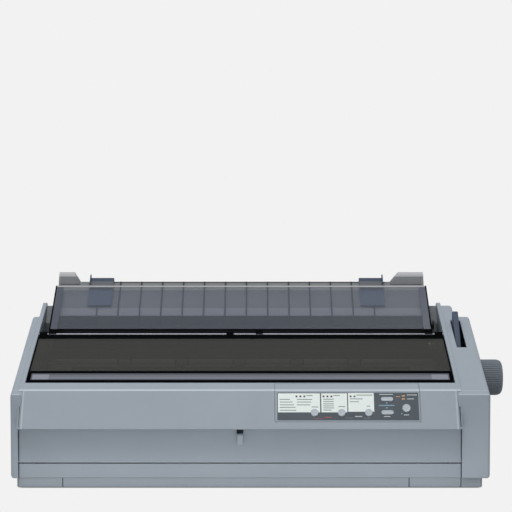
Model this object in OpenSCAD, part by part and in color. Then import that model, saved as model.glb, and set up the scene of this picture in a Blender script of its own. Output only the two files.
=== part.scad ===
// Wide-carriage dot matrix printer. Millimetres, +Z up, +Y towards the back.
// The origin lies under the middle of the overall box, on the surface that it stands on.
// Inside the modules the depth is counted from the front-most edge.

/* [Overall] */
// Width of the case, without the platen knob
body_w = 609; // [595:1:625]
// Depth from the front wedge to the rear wall
overall_d = 402; // [396:1:412]
// Reach of the platen knob beyond the right side
knob_reach = 30; // [24:1:40]
// Height of the paper guide's ears above the table
overall_h = 256; // [252:1:262]
// Wall thickness of the case mouldings
wall = 2.5; // [2:0.1:3]

/* [Case] */
// Width of the left shoulder outside the raised wall
left_shoulder_w = 9.5; // [8:0.5:12]
// Width of the right shoulder outside the raised wall
right_shoulder_w = 36; // [33:0.5:42]
// Thickness of the raised walls beside the cover
rim_w = 6; // [5:0.5:8]
// Height of the wedge's lower edge
wedge_z = 79.8; // [79:0.1:81]
// Depth of the ridge between the wedge and the deck
ridge_d = 26; // [24:0.5:28]
// Height of the ridge
ridge_z = 125; // [123:0.5:127]
// Slope of the deck
deck_slope = 20.2; // [19.6:0.1:20.6]
// Width of the chamfers at the wedge's sides
wedge_chamfer = 6.5; // [4:0.5:8]
// Depth of the shoulders' front faces
shoulder_d = 17.5; // [14:0.5:19]
// Drop from the raised walls to the shoulders
shoulder_drop = 1.5; // [1:0.5:5]
// Depth at which the shoulders end
shoulder_end_d = 229; // [225:1:235]
// Depth of the raised walls' peak
peak_d = 269; // [264:1:272]
// Height of the case at the rear wall
rear_z = 126; // [118:1:132]
// Room behind the tractor shaft, up to the ledge of the rear wall
tractor_room = 64; // [60:1:68]
// Height of the shoulders' lower edge
skirt_z = 13.5; // [12:0.5:14]
// Height of the sill's top edge
sill_z = 31.5; // [30:0.5:33]
// Set-back of the foot strip below the shoulders
foot_setback = 7; // [5:0.5:9]
// Depth of the front cover's and sill's faces
front_d = 21.5; // [21:0.5:23]
// Ground clearance of the base tray
ground_gap = 1; // [0.8:0.1:2]
// Gap between separate mouldings
seam = 0.6; // [0.4:0.1:0.8]

/* [Covers] */
// Depth of the printer cover's front edge
cover_d = 45.6; // [44.5:0.1:47]
// Wall thickness of the smoky covers
cover_wall = 2.4; // [2:0.1:3]
// Depth of the rod that both smoky covers turn on
hinge_d = 180; // [176:1:184]
// Distance of that rod below the deck's plane
hinge_drop = 3.2; // [3:0.1:3.6]
// Radius of the hinge rod
hinge_r = 2; // [1.5:0.1:2.2]
// Length of the rear flap from rod to top edge
flap_l = 106; // [100:1:109]
// Slope of the rear flap
flap_slope = 33.5; // [32:0.5:34.5]
// Width of the rear flap
flap_w = 525; // [515:1:526]
// Thickness of the front sheet-guide cover
front_cover_t = 3.5; // [3:0.1:4]
// Radius of the small hinge pins
pin_r = 1.5; // [1.2:0.1:1.7]

/* [Control panel] */
// Left edge of the panel housing from the right shoulder's inner face
panel_from_right = 53.5; // [50:0.5:60]
// Width of the panel housing
panel_w = 184; // [178:1:190]
// Thickness of the printed label
label_t = 0.4; // [0.3:0.1:0.6]
// Radius of the three function buttons
key_r = 4.9; // [4:0.1:5.2]
// Radius of the pause button
pause_r = 5.3; // [4.5:0.1:5.5]
// Length of the oval feed buttons
oval_l = 15.6; // [13:0.1:16]
// Width of the oval feed buttons
oval_w = 5.6; // [4.5:0.1:6]
// Travel of every button
key_travel = 0.8; // [0.5:0.1:1]
// Height of the buttons above the label
key_proud = 1.5; // [1.2:0.1:2]

/* [Paper path] */
// Depth of the platen's axis
platen_d = 130; // [129:0.5:131]
// Height of the platen's axis
platen_z = 127; // [126:0.5:128]
// Radius of the platen roller
platen_r = 14; // [13.5:0.1:14.2]
// Length of the platen roller
platen_l = 452; // [440:1:460]
// Radius of the platen shaft
platen_shaft_r = 5; // [4:0.1:6]
// Diameter of the platen knob
knob_dia = 47.5; // [44:0.5:50]
// Radius of the tension unit's rollers
bail_roller_r = 5.5; // [5:0.1:6]
// Width of each tension roller
bail_roller_w = 13.4; // [11:0.2:16]
// Distance between neighbouring tension rollers
bail_pitch = 77; // [72:1:79]
// Depth of the tractor drive shaft
tractor_d = 262; // [261:0.5:264]
// Height of the tractor drive shaft
tractor_z = 138; // [136:0.5:139]
// Across flats of the square tractor shaft
tractor_shaft_w = 8; // [7:0.1:9]
// Width of a tractor
tractor_w = 24; // [20:1:28]

/* [Paper guide] */
// Width of the paper guide over its ears
guide_w = 520; // [510:1:521]
// Distance from the covers' rod back to the paper guide's lower bend
guide_back = 58; // [57:0.5:60]
// Drop of that bend below the line of the rear flap
guide_drop = 10.35; // [9.85:0.05:11.35]
// Slope of the paper guide at rest
guide_slope = 36.5; // [35:0.5:38]
// Length of the paper guide above its bend
guide_l = 60.5; // [57:0.5:62]
// Thickness of the paper guide plate
guide_t = 2.5; // [2:0.1:3]
// Distance between neighbouring guide ribs
rib_pitch = 29.9; // [28:0.1:31]
// Height of the guide ribs
rib_h = 2.6; // [2:0.1:2.8]

/* [Carriage] */
// Depth of the carriage shaft
rail_d = 84; // [83.5:0.5:84.5]
// Height of the carriage shaft
rail_z = 96; // [95:0.5:97]
// Radius of the carriage shaft
rail_r = 6; // [5:0.1:6.5]
// Width of the carriage
carriage_w = 60; // [54:1:64]
// Travel of the carriage
carriage_travel = 368; // [350:1:372]
// Pitch radius of the belt pulleys
pulley_r = 6.5; // [5.5:0.1:6.8]
// Width of the timing belt
belt_w = 6; // [4:0.5:7]
// Width of the ribbon cartridge
cartridge_w = 470; // [462:1:474]

/* [Gears] */
// Tooth module of the gear train
gear_m = 1; // [1:0.01:1]
// Teeth of the platen gear
platen_teeth = 40; // [40:2:40]
// Teeth of the feed motor pinion
pinion_teeth = 14; // [12:1:15]
// Width of the gears
gear_w = 5; // [4:0.5:6]

/* [Hidden] */
$fn = 48;

eps = 0.01;
running = 0.05;          // radial clearance of a shaft in its bore
gap = 0.3;               // gap between neighbouring pieces

// Case
case_x0 = -(body_w + knob_reach) / 2;
case_x1 = case_x0 + body_w;
rim_x0 = case_x0 + left_shoulder_w;
rim_x1 = case_x1 - right_shoulder_w;
bay_x0 = rim_x0 + rim_w;
bay_x1 = rim_x1 - rim_w;
mid_x = (bay_x0 + bay_x1) / 2;
bay_end_d = tractor_d + tractor_room;
deck_tan = tan(deck_slope);
function deck(d) = ridge_z + (d - ridge_d) * deck_tan;
function shoulder(d) = deck(d) - shoulder_drop;
wedge_angle = atan2(ridge_z - wedge_z, ridge_d);
wedge_l = norm([ridge_d, ridge_z - wedge_z]);
shoulder_back_d = shoulder_end_d + 34;
peak_back_d = peak_d + 18;
rear_slope_z = rear_z + 26;
ledge_z0 = 64;
tray_z = ground_gap + wall + 0.5;
sill_t = 3;
front_room_d = front_d + 12;
base_x0 = case_x0 + foot_setback;
base_x1 = case_x1 - foot_setback - 2;
base_d0 = front_d + 1;
base_chamfer = 3;
base_d1 = overall_d - foot_setback / 2;

// Covers
hinge_z = deck(hinge_d) - hinge_drop;
barrel_r = hinge_r + 1.8;
flap_top = 1.8;          // the flap's outer face above the line from the rod
swing_gap = 9.5;         // both smoky plates start this far from the rod
front_pivot_d = front_d + front_cover_t / 2;
front_cover_z0 = sill_z + 1.2;
front_cover_z1 = wedge_z - 4.4;
front_pivot_z = front_cover_z0 + front_cover_t / 2;
tab_x = mid_x;
tab_w = 7.5;

// Control panel, in a frame on the wedge's face: x, up the slope, out of the face
panel_x0 = rim_x1 - panel_from_right - panel_w;
panel_x1 = panel_x0 + panel_w;
panel_s0 = 9.5;
housing_t = 3;
panel_end_d = cover_d - 3;
label_x0 = panel_x0 + 3;
label_x1 = panel_x1 - 2;
label_s0 = panel_s0 + 2;
label_s1 = wedge_l - 3.2;
key_s = 21.8;
key_x = [for (i = [0:2]) panel_x0 + 50.1 + 34.2 * i];
pause_x = panel_x0 + 166.3;
pause_s = 27.8;
oval_x = panel_x0 + 142.2;
oval_s = [39.9, 22];
lamp_x = [for (g = [[27.4, 3], [61.7, 3], [96, 2]]) for (i = [0:g[1] - 1]) panel_x0 + g[0] + 5 * i];
lamp_s = wedge_l - 8.4;
lamp_w = 2.4;
warn_x = panel_x0 + 163;
warn_s = [wedge_l - 7.6, wedge_l - 11.8];
board_drop = housing_t + 5.5;
flange_t = 1;
flange_r = 1.2;

// Mechanism frame plates
plate_t = 2.5;
frame_x0 = bay_x0 + 11;
frame_x1 = bay_x1 - 9;
gear_x = bay_x0 + 2.2;
foot_h = 6;

// Gear train: each phase puts a gap of one gear on a tooth of the next
platen_gear_r = gear_m * platen_teeth / 2;
pinion_r = gear_m * pinion_teeth / 2;
tractor_teeth = platen_teeth;
chain_l = norm([tractor_d - platen_d, tractor_z - platen_z]);
// two equal idlers, just large enough to bridge the way from the platen to the tractors
idler_teeth = 2 * ceil((chain_l - 2 * platen_gear_r) / (4 * gear_m) + 0.4);
idler_r = gear_m * idler_teeth / 2;
chain_a = atan2(tractor_z - platen_z, tractor_d - platen_d);
reach = platen_gear_r + idler_r;
sag_a = acos(min(1, (chain_l / 2 - idler_r) / reach));
first_a = chain_a - sag_a;
second_a = 180 + chain_a + sag_a;
first = [platen_d + reach * cos(first_a), platen_z + reach * sin(first_a)];
second = [tractor_d + reach * cos(second_a), tractor_z + reach * sin(second_a)];
link_a = atan2(second[1] - first[1], second[0] - first[0]);
pinion_a = -100;
pinion = [first[0] + (idler_r + pinion_r) * cos(pinion_a), first[1] + (idler_r + pinion_r) * sin(pinion_a)];
function meshed(phase, a, ra, rb, teeth) = a + 180 - (phase - a) * ra / rb + 180 / teeth;
first_phase = meshed(0, first_a, platen_gear_r, idler_r, idler_teeth);
second_phase = meshed(first_phase, link_a, idler_r, idler_r, idler_teeth);
tractor_phase = meshed(second_phase, second_a - 180, idler_r, platen_gear_r, tractor_teeth);
pinion_phase = meshed(first_phase, pinion_a, idler_r, pinion_r, pinion_teeth);

// Paper guide
guide_d = hinge_d + guide_back;
guide_z = hinge_z + guide_back * tan(flap_slope) - guide_drop;
guide_x0 = mid_x - guide_w / 2 - 0.8;
guide_x1 = guide_x0 + guide_w;
guide_top = [guide_d + guide_l * cos(guide_slope), guide_z + guide_l * sin(guide_slope)];
guide_pivot_d = guide_d - 12;
guide_pivot_z = guide_z - 22;
rib_count = 14;
rib_x0 = guide_x0 + 57.5;
ear_z = overall_h;

// Tension unit
bail_angle = 62;
bail_reach = platen_r + bail_roller_r + gap;
bail_d = platen_d + bail_reach * cos(bail_angle);
bail_z = platen_z + bail_reach * sin(bail_angle);
bail_pivot_d = platen_d + 50;
bail_pivot_z = platen_z + 20;
bail_count = 5;
bail_x0 = mid_x - 2 * bail_pitch - 2;

// Carriage
carriage_x0 = frame_x0 + plate_t + 50;
head_front_d = platen_d - platen_r - 1.8;
head_l = 19.2;
head_nose = 9;
head_d0 = head_front_d - head_nose - head_l;
pulley_d = rail_d - 20;
belt_z = rail_z - 2.5;
belt_t = 1.2;
drive_x = frame_x0 + plate_t + 24;
idle_x = frame_x1 - 24;
rail_plate_z = rail_z - 15;
carriage_d0 = pulley_d + pulley_r + belt_t + gap;
motor_r = 21;

// Release lever in the right shoulder
slot_x0 = rim_x1 + 8;
slot_w = 13.5;
slot_d0 = hinge_d - 39;
slot_d1 = hinge_d + 39;
lever_w = 7.5;
lever_pivot_d = slot_d1 - 10;
lever_pivot_z = platen_z - 26;
lever_x = slot_x0 + 1.6;
lever_bore = 4;

case_grey = [0.62, 0.65, 0.68];
smoke = [0.22, 0.23, 0.24, 0.75];
steel = [0.7, 0.71, 0.72];
slate = [0.24, 0.3, 0.4];
black = [0.13, 0.13, 0.14];

// Everything is modelled from the front-most edge and set back to the middle
module printer() translate([0, -overall_d / 2, 0]) children();
// An outline in depth and height, drawn out from x0 to x1
module slab(x0, x1) translate([x0, 0, 0]) rotate([90, 0, 90]) linear_extrude(height = x1 - x0) children();
// A round bar along the width
module bar(x0, x1, r, at) translate([x0, at[0], at[1]]) rotate([0, 90, 0]) cylinder(h = x1 - x0, r = r);
// A plain block between two corners
module block(a, b) translate(a) cube(b - a);
// The frame on the wedge's face: x along the width, y up the slope, z out of the face
module on_wedge() translate([0, 0, wedge_z]) rotate([wedge_angle, 0, 0]) children();

// ---- Case ----

module shoulder_outline(cut = 0) {
    polygon([[shoulder_d + cut, skirt_z - (cut > 0 ? 1 : 0)],
             [shoulder_d + cut, shoulder(shoulder_d) - cut],
             [shoulder_end_d - cut / 2, shoulder(shoulder_end_d) - cut],
             [shoulder_back_d - cut, rear_slope_z + 8 - cut],
             [overall_d - cut, rear_z - cut],
             [overall_d - cut, skirt_z - (cut > 0 ? 1 : 0)]]);
}

// Raised wall: it follows the deck to the peak and drops behind it
module rim_outline() {
    polygon([[ridge_d, ridge_z], [peak_d - 4, deck(peak_d - 4)], [peak_d, deck(peak_d - 1)],
             [peak_d + 3, deck(peak_d - 4)], [peak_back_d, rear_slope_z + 6],
             [peak_back_d, rear_z - 40], [ridge_d, ridge_z - 40]]);
}

module wedge_outline(cut = 0) {
    polygon([[cut * 1.6, wedge_z + cut * 0.4], [ridge_d + cut * 0.6, ridge_z - cut],
             [cover_d - seam - (cut > 0 ? cut : 0), deck(cover_d - seam) - cut * 1.05],
             [cover_d - seam - cut, wedge_z - 2 + cut * 0.2],
             [front_d + cut, wedge_z - 2 + cut * 0.2],
             [cut * 1.6 + (cut > 0 ? 2 : 1), wedge_z - 1 + cut]]);
}

module wedge_shell() {
    intersection() {
        difference() {
            slab(rim_x0 - 0.5, rim_x1) wedge_outline();
            slab(rim_x0 + wall, rim_x1 - wall) wedge_outline(wall);
            // open towards the mechanism
            slab(bay_x0, bay_x1)
                polygon([[cover_d - seam - wall - eps, ridge_z - 6], [cover_d + 9, ridge_z - 6],
                         [cover_d + 9, 60], [front_d + 8, 60], [front_d + 8, wedge_z + 2]]);
        }
        // the chamfered sides follow the slope of the wedge
        on_wedge() rotate([-90, 0, 0]) translate([0, 0, -60]) linear_extrude(height = 200)
            polygon([[rim_x0 - 0.5 + wedge_chamfer, 0], [rim_x1 - wedge_chamfer, 0],
                     [rim_x1, wedge_chamfer], [rim_x1, 90], [rim_x0 - 0.5, 90],
                     [rim_x0 - 0.5, wedge_chamfer]]);
    }
}

module panel_opening() {
    grow = gap;
    slab(panel_x0 - grow, panel_x1 + grow) housing_outline(grow);
}

module housing_outline(grow = 0) {
    s0 = [cos(wedge_angle), sin(wedge_angle)];
    inward = [sin(wedge_angle), -cos(wedge_angle)];
    low = [0, wedge_z] + s0 * (panel_s0 - grow);
    t = housing_t + grow;
    over = grow > 0 ? 4 : 0;
    polygon([low - inward * over, [ridge_d, ridge_z] + [-over, over],
             [panel_end_d + grow, deck(panel_end_d + grow) + over],
             [panel_end_d + grow, deck(panel_end_d + grow) - t],
             [ridge_d + t * 0.8, deck(ridge_d + t * 0.8) - t * 1.05],
             low + inward * t]);
}

module upper_case() color(case_grey) printer() {
    difference() {
        union() {
            // shoulders with the raised walls on their inner sides
            slab(case_x0, bay_x0) shoulder_outline();
            slab(bay_x1, case_x1) shoulder_outline();
            slab(rim_x0, bay_x0) rim_outline();
            slab(bay_x1, slot_x0 + slot_w - 5.5) rim_outline_low();
            slab(bay_x1, rim_x1) rim_outline();
            wedge_shell();
            // rear wall and ledge
            slab(bay_x0 - eps, bay_x1 + eps)
                polygon([[bay_end_d, rear_z + 9], [bay_end_d + wall, rear_z + 9],
                         [bay_end_d + wall, rear_z + 5], [overall_d, rear_z], [overall_d, skirt_z],
                         [overall_d - wall, skirt_z], [overall_d - wall, rear_z - wall],
                         [bay_end_d + wall, rear_z + 5 - wall], [bay_end_d + wall, ledge_z0],
                         [bay_end_d, ledge_z0]]);
        }
        // hollow shoulders, narrower beside the front cover
        difference() {
            union() {
                slab(case_x0 + wall, bay_x0 - wall) shoulder_outline(wall);
                slab(bay_x1 + wall, case_x1 - wall) shoulder_outline(wall);
            }
            block([rim_x0 - seam - wall, 0, 0], [rim_x1 + seam + wall, front_room_d + wall, ear_z]);
        }
        panel_opening();
        // slot of the release lever
        block([slot_x0, slot_d0, shoulder(slot_d0) - 20], [slot_x0 + slot_w, slot_d1, ear_z]);
        // holes of the platen shaft, hinge rod and front cover's pins
        bar(bay_x1 - 1, case_x1 + 1, platen_shaft_r + 1.2, [platen_d, platen_z]);
        bar(bay_x0 - 2, bay_x1 + 2, hinge_r + running, [hinge_d, hinge_z]);
        bar(rim_x0 - seam - wall - 1, rim_x0, pin_r + running, [front_pivot_d, front_pivot_z]);
        bar(rim_x1, rim_x1 + seam + wall + 1, pin_r + running, [front_pivot_d, front_pivot_z]);
        // room for the front cover and sill between the shoulders
        block([rim_x0 - seam, shoulder_d - 1, skirt_z - 1], [rim_x1 + seam, front_room_d, wedge_z - 3]);
        // power switch in the left side
        block([case_x0 - 1, switch_d - switch_l / 2 - gap, switch_z - switch_h / 2 - gap],
              [case_x0 + wall + 1, switch_d + switch_l / 2 + gap, switch_z + switch_h / 2 + gap]);
        // openings of the rear fittings
        for (f = rear_openings)
            block([f[0] - gap, overall_d - wall - 1, f[2] - gap], [f[1] + gap, overall_d + 1, f[3] + gap]);
        // cooling slots in the ledge
        for (i = [0:vent_count - 1])
            block([vent_x0 + vent_pitch * i, bay_end_d + 16, rear_z - 8],
                  [vent_x0 + vent_pitch * i + vent_w, overall_d - 16, rear_z + 12]);
    }
    // stub shaft of the release lever
    bar(bay_x1 + 1, lever_x + lever_w + 3, lever_bore, [lever_pivot_d, lever_pivot_z]);
}

// The right shoulder's inner part climbs to the peak behind the lever's slot
module rim_outline_low() {
    polygon([[slot_d1 + 1, shoulder(slot_d1)], [peak_d - 8, deck(peak_d) - 4], [peak_d, deck(peak_d) - 4.5],
             [peak_back_d, rear_slope_z + 6], [peak_back_d, rear_z - 20], [slot_d1 + 1, rear_z - 20]]);
}

switch_d = overall_d - 72;
switch_z = 62;
switch_l = 26;
switch_h = 16;
vent_count = 18;
vent_pitch = 18;
vent_w = 6;
vent_x0 = mid_x - (vent_count - 1) * vent_pitch / 2 - vent_w / 2;
// Rear fittings: left, right, bottom and top of each opening
inlet = [bay_x0 + 42, bay_x0 + 72, 30, 52];
printer_port = [bay_x1 - 97.5, bay_x1 - 41.5, 34, 50];
serial_port = [bay_x1 - 163.5, bay_x1 - 129.5, 34, 48];
usb_port = [bay_x1 - 25.5, bay_x1 - 11.5, 34, 48];
slot_cover = [mid_x + 8.25, mid_x + 90.25, 28, 60];
rear_openings = [inlet, printer_port, serial_port, usb_port, slot_cover];

module lower_case() color(case_grey * 0.97) printer() {
    difference() {
        union() {
            difference() {
                translate([0, 0, ground_gap]) linear_extrude(height = skirt_z - gap - ground_gap)
                    polygon([[base_x0, base_d0 + base_chamfer], [base_x0 + base_chamfer, base_d0],
                             [base_x1 - base_chamfer, base_d0], [base_x1, base_d0 + base_chamfer],
                             [base_x1, base_d1], [base_x0, base_d1]]);
                block([base_x0 + wall, base_d0 + wall, tray_z], [base_x1 - wall, base_d1 - wall, skirt_z]);
            }
            // sill between the shoulders, joined to the tray by a ledge
            slab(rim_x0 + seam, rim_x1 - seam)
                polygon([[front_d, skirt_z], [front_d, sill_z], [front_d + sill_t, sill_z],
                         [front_d + sill_t, skirt_z + sill_t], [front_room_d - seam, skirt_z + sill_t],
                         [front_room_d - seam, tray_z - eps], [base_d0, tray_z - eps], [base_d0, skirt_z]]);
            // posts that carry the frame plates
            for (x = [frame_x0 + plate_t / 2, frame_x1 + plate_t / 2])
                for (d = [rail_d - 14, tractor_d + 38])
                    block([x - 8, d - 10, tray_z - eps], [x + 8, d + 10, tray_z + foot_h]);
            // board pillars
            for (b = [board_a, supply_a])
                for (x = [b[0] + 6, b[1] - 6])
                    for (d = [board_d0 + 6, board_d1 - 6])
                        translate([x, d, tray_z - eps]) cylinder(h = pillar_h, r = 4);
        }
        // shadow grooves in the foot strip
        for (x = [base_x0 + 58, base_x1 - 94, rim_x1 - 1])
            block([x, base_d0 - 1, ground_gap - 1], [x + 1, base_d0 + 1, skirt_z - gap]);
        // pockets of the feet
        for (x = foot_x) for (d = foot_d)
            translate([x, d, ground_gap - eps]) cylinder(h = 2 + eps, r = foot_r + running);
    }
}

foot_r = 10;
foot_x = [base_x0 + 30, base_x1 - 30];
foot_d = [base_d0 + 24, base_d1 - 24];
pillar_h = 8;
board_d1 = overall_d - 14;
board_d0 = board_d1 - 120;
board_a = [bay_x1 - 217.5, bay_x1 - 15.5];
supply_a = [bay_x0 + 18, bay_x0 + 176];

module rubber_feet() color(black) printer()
    for (x = foot_x) for (d = foot_d)
        translate([x, d, 0]) cylinder(h = ground_gap + 2, r = foot_r);

// ---- Control panel ----

module key_shape(grow = 0, h = 1) cylinder(h = h, r = key_r + grow);
module pause_shape(grow = 0, h = 1) cylinder(h = h, r = pause_r + grow);
module oval_shape(grow = 0, h = 1) {
    r = oval_w / 2 + grow;
    run = (oval_l - oval_w) / 2;
    for (sx = [-1, 1]) translate([sx * run, 0, 0]) cylinder(h = h, r = r);
    translate([-run, -r, 0]) cube([2 * run, 2 * r, h]);
}

// All button holes, cut through the housing or the label
module key_holes(grow) {
    for (x = key_x) translate([x, key_s, -12]) key_shape(grow, 20);
    translate([pause_x, pause_s, -12]) pause_shape(grow, 20);
    for (s = oval_s) translate([oval_x, s, -12]) oval_shape(grow, 20);
}

module lamp_windows(grow, low, high) {
    for (x = lamp_x) block([x - lamp_w / 2 - grow, lamp_s - lamp_w / 2 - grow, low],
                           [x + lamp_w / 2 + grow, lamp_s + lamp_w / 2 + grow, high]);
    for (s = warn_s) block([warn_x - 2 - grow, s - 0.8 - grow, low],
        [warn_x + 2 + grow, s + 0.8 + grow, high]);
}

module panel_housing() color(case_grey) printer() difference() {
    slab(panel_x0, panel_x1) housing_outline();
    on_wedge() {
        block([label_x0 - running, label_s0 - running, -label_t],
            [label_x1 + running, label_s1 + running, 2]);
        key_holes(gap);
        lamp_windows(running, -12, 3);
    }
}

module panel_label() color([0.29, 0.35, 0.4]) printer() on_wedge() difference() {
    block([label_x0, label_s0, -label_t], [label_x1, label_s1, 0]);
    key_holes(gap);
    lamp_windows(running, -12, 3);
}

module indicator_lenses() color([0.9, 0.5, 0.1]) printer() on_wedge()
    lamp_windows(0, -board_drop + 1.6, 0.15);

module control_board() color([0.1, 0.35, 0.2]) printer() on_wedge() {
    difference() {
        block([panel_x0 + 4, panel_s0 + 3, -board_drop], [panel_x1 - 4, wedge_l - 4, -board_drop + 1.6]);
    }
    // one push switch under each button
    for (p = [for (x = key_x) [x, key_s], [pause_x, pause_s], [oval_x, oval_s[0]], [oval_x, oval_s[1]]])
        block([p[0] - 3, p[1] - 3, -board_drop + 1.6 - eps], [p[0] + 3, p[1] + 3, -board_drop + 3]);
    // posts up to the housing
    for (x = [panel_x0 + 8, panel_x1 - 12])
        block([x, panel_s0 + 6, -board_drop + 1.6 - eps], [x + 4, panel_s0 + 10, -housing_t - 0.05]);
}

key_low = -board_drop + 3 + key_travel + 0.2;
module round_key(x, s, r) color([0.68, 0.7, 0.73]) printer() on_wedge() translate([x, s, 0]) {
    translate([0, 0, key_low]) cylinder(h = key_proud - 0.6 - key_low, r = r);
    translate([0, 0, key_proud - 0.6]) cylinder(h = 0.6, r1 = r, r2 = r - 0.6);
    translate([0, 0, key_low]) cylinder(h = flange_t, r = r + flange_r);
}
module oval_key(s) color([0.68, 0.7, 0.73]) printer() on_wedge() translate([oval_x, s, key_low]) {
    oval_shape(0, key_proud - key_low);
    oval_shape(flange_r, flange_t);
}
module key_left() round_key(key_x[0], key_s, key_r);
module key_middle() round_key(key_x[1], key_s, key_r);
module key_right() round_key(key_x[2], key_s, key_r);
module pause_button() round_key(pause_x, pause_s, pause_r);
module feed_button_up() oval_key(oval_s[0]);
module feed_button_down() oval_key(oval_s[1]);

// ---- Covers ----

module front_cover() color(case_grey) printer() {
    x0 = rim_x0 + seam;
    x1 = rim_x1 - seam;
    difference() {
        block([x0, front_d, front_cover_z0], [x1, front_d + front_cover_t, front_cover_z1]);
        // finger notch above the tab
        block([tab_x - tab_w / 2, front_d - 1, front_cover_z1 - 5],
            [tab_x + tab_w / 2, front_d + 2, front_cover_z1 + 1]);
    }
    // finger tab
    slab(tab_x - tab_w / 2, tab_x + tab_w / 2)
        polygon([[front_d + eps, front_cover_z1 - 5], [front_d - 4.5, front_cover_z1 - 5],
                 [front_d - 5, front_cover_z1 - 7], [front_d - 1.5, front_cover_z1 - 20],
                 [front_d + eps, front_cover_z1 - 20]]);
    bar(x0 - seam - wall - 0.5, x0 + 3, pin_r, [front_pivot_d, front_pivot_z]);
    bar(x1 - 3, x1 + seam + wall + 0.5, pin_r, [front_pivot_d, front_pivot_z]);
}

// Barrels of the two smoky covers share the rod: the printer cover has the outer ones
barrel_l = 10;
cover_barrels = [bay_x0 + 1.5, mid_x - 20, bay_x1 - 1.5 - barrel_l];
flap_x0 = mid_x - flap_w / 2 - 0.8;
flap_x1 = flap_x0 + flap_w;
flap_barrels = [flap_x0 + 1, mid_x + 20, flap_x1 - 1 - barrel_l];
cover_end_d = hinge_d - swing_gap;

module cover_outline() {
    polygon([[cover_d + 2.4, deck(cover_d) - 5], [cover_d + 0.5, deck(cover_d) - 1.2],
             [cover_d + 1.5, deck(cover_d)],
             [cover_d + 24, deck(cover_d + 24) + 1.2], [cover_end_d, deck(cover_end_d) + 1.2],
             [cover_end_d, deck(cover_end_d) + 1.2 - cover_wall],
             [cover_d + 24, deck(cover_d + 24) + 1.2 - cover_wall],
             [cover_d + cover_wall + 2.6, deck(cover_d) - cover_wall + 0.6],
             [cover_d + cover_wall + 2.4, deck(cover_d) - 5]]);
}

module printer_cover() color(smoke) printer() {
    x0 = bay_x0 + seam;
    x1 = bay_x1 - seam;
    difference() {
        union() {
            slab(x0, x1) cover_outline();
            // side skirts
            for (x = [x0, x1 - cover_wall])
                slab(x, x + cover_wall)
                    polygon([[cover_d + 2.4, deck(cover_d) - 5], [cover_d + 24, deck(cover_d + 24) - 5],
                             [cover_end_d, deck(cover_end_d) - 5], [cover_end_d, deck(cover_end_d) + 1],
                             [cover_d + 24, deck(cover_d + 24) + 1],
                             [cover_d + 1.8, deck(cover_d) - 0.2], [cover_d + 0.7, deck(cover_d) - 1.4]]);
            for (x = cover_barrels) {
                bar(x, x + barrel_l, barrel_r, [hinge_d, hinge_z]);
                slab(x, x + barrel_l)
                    polygon([[cover_end_d - 2, deck(cover_end_d - 2) + 1.1],
                             [hinge_d - 1, hinge_z + barrel_r - 0.3],
                             [hinge_d, hinge_z], [cover_end_d - 2, deck(cover_end_d - 2) - 1]]);
            }
        }
        bar(x0 - 1, x1 + 1, hinge_r + running, [hinge_d, hinge_z]);
    }
}

// The flap rises from the rod; its outline is drawn along its own slope
module rear_flap() color(smoke) printer() translate([0, hinge_d, hinge_z]) rotate([flap_slope, 0, 0]) {
    difference() {
        union() {
            block([flap_x0, swing_gap, flap_top - cover_wall], [flap_x1, flap_l, flap_top]);
            // turned-down sides and rolled top edge
            for (x = [flap_x0, flap_x1 - cover_wall])
                block([x, swing_gap, flap_top - 5], [x + cover_wall, flap_l, flap_top]);
            bar(flap_x0, flap_x1, 1.4, [flap_l - 1.4, flap_top - 1.4]);
            for (x = flap_barrels) {
                bar(x, x + barrel_l, barrel_r, [0, 0]);
                block([x, 0, flap_top - 2.4], [x + barrel_l, swing_gap + 2, flap_top]);
            }
        }
        bar(flap_x0 - 1, flap_x1 + 1, hinge_r + running, [0, 0]);
    }
}

module hinge_rod() color(steel) printer()
    bar(bay_x0 - 1.5, bay_x1 + 1.5, hinge_r, [hinge_d, hinge_z]);

// ---- Paper guide ----

module guide_outline(t) {
    u = [cos(guide_slope), sin(guide_slope)];
    n = [sin(guide_slope), -cos(guide_slope)];
    bend = [guide_d, guide_z];
    // below the bend the plate runs forward and down towards the platen
    polygon([guide_top, bend, bend + [-9, -8.5], bend + [-14, -20], bend + [-34, -38],
             bend + [-37, -52], bend + [-37 + t, -52], bend + [-34 + t, -38 - t * 0.3],
             bend + [-14 + t, -20 - t / 2], bend + [-9 + t, -8.5 - t * 0.4],
             bend + n * t, guide_top + n * t]);
}

module paper_guide() color([0.55, 0.56, 0.57]) printer() difference() {
    union() {
        slab(guide_x0, guide_x1) guide_outline(guide_t);
        // ribs on the paper side
        for (i = [0:rib_count - 1])
            slab(rib_x0 + rib_pitch * i, rib_x0 + rib_pitch * i + 1.6) rib_outline();
        // ears
        slab(guide_x0, guide_x0 + 4) ear_outline();
        slab(guide_x1 - 4, guide_x1) ear_outline();
        ear(guide_x0, 22, 8);
        mirror_at(guide_x1) ear(0, 36, 11);
        // side arms with the pivot pins
        for (x = [guide_x0, guide_x1 - 4])
            slab(x, x + 4) polygon([[guide_d - 2, guide_z - 1], [guide_d - 14, guide_z - 18],
                                    [guide_pivot_d - 5, guide_pivot_z - 4],
                                    [guide_pivot_d + 6, guide_pivot_z - 4],
                                    [guide_d + 12, guide_z + 5]]);
        bar(frame_x0 + plate_t + gap - 2.2, guide_x0 + 1, 3, [guide_pivot_d, guide_pivot_z]);
        bar(guide_x1 - 1, frame_x1 + 2.2 - gap, 3, [guide_pivot_d, guide_pivot_z]);
    }
    // notches that the edge guides' feet run in
    slab(guide_x0 + 34, guide_x1 - 56) translate(guide_top) rotate(guide_slope)
        polygon([[-9, -guide_t - 1], [-9, -guide_t + 0.9], [-5, -guide_t + 0.9], [-5, -guide_t - 1]]);
}

module mirror_at(x) translate([x, 0, 0]) mirror([1, 0, 0]) children();

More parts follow.
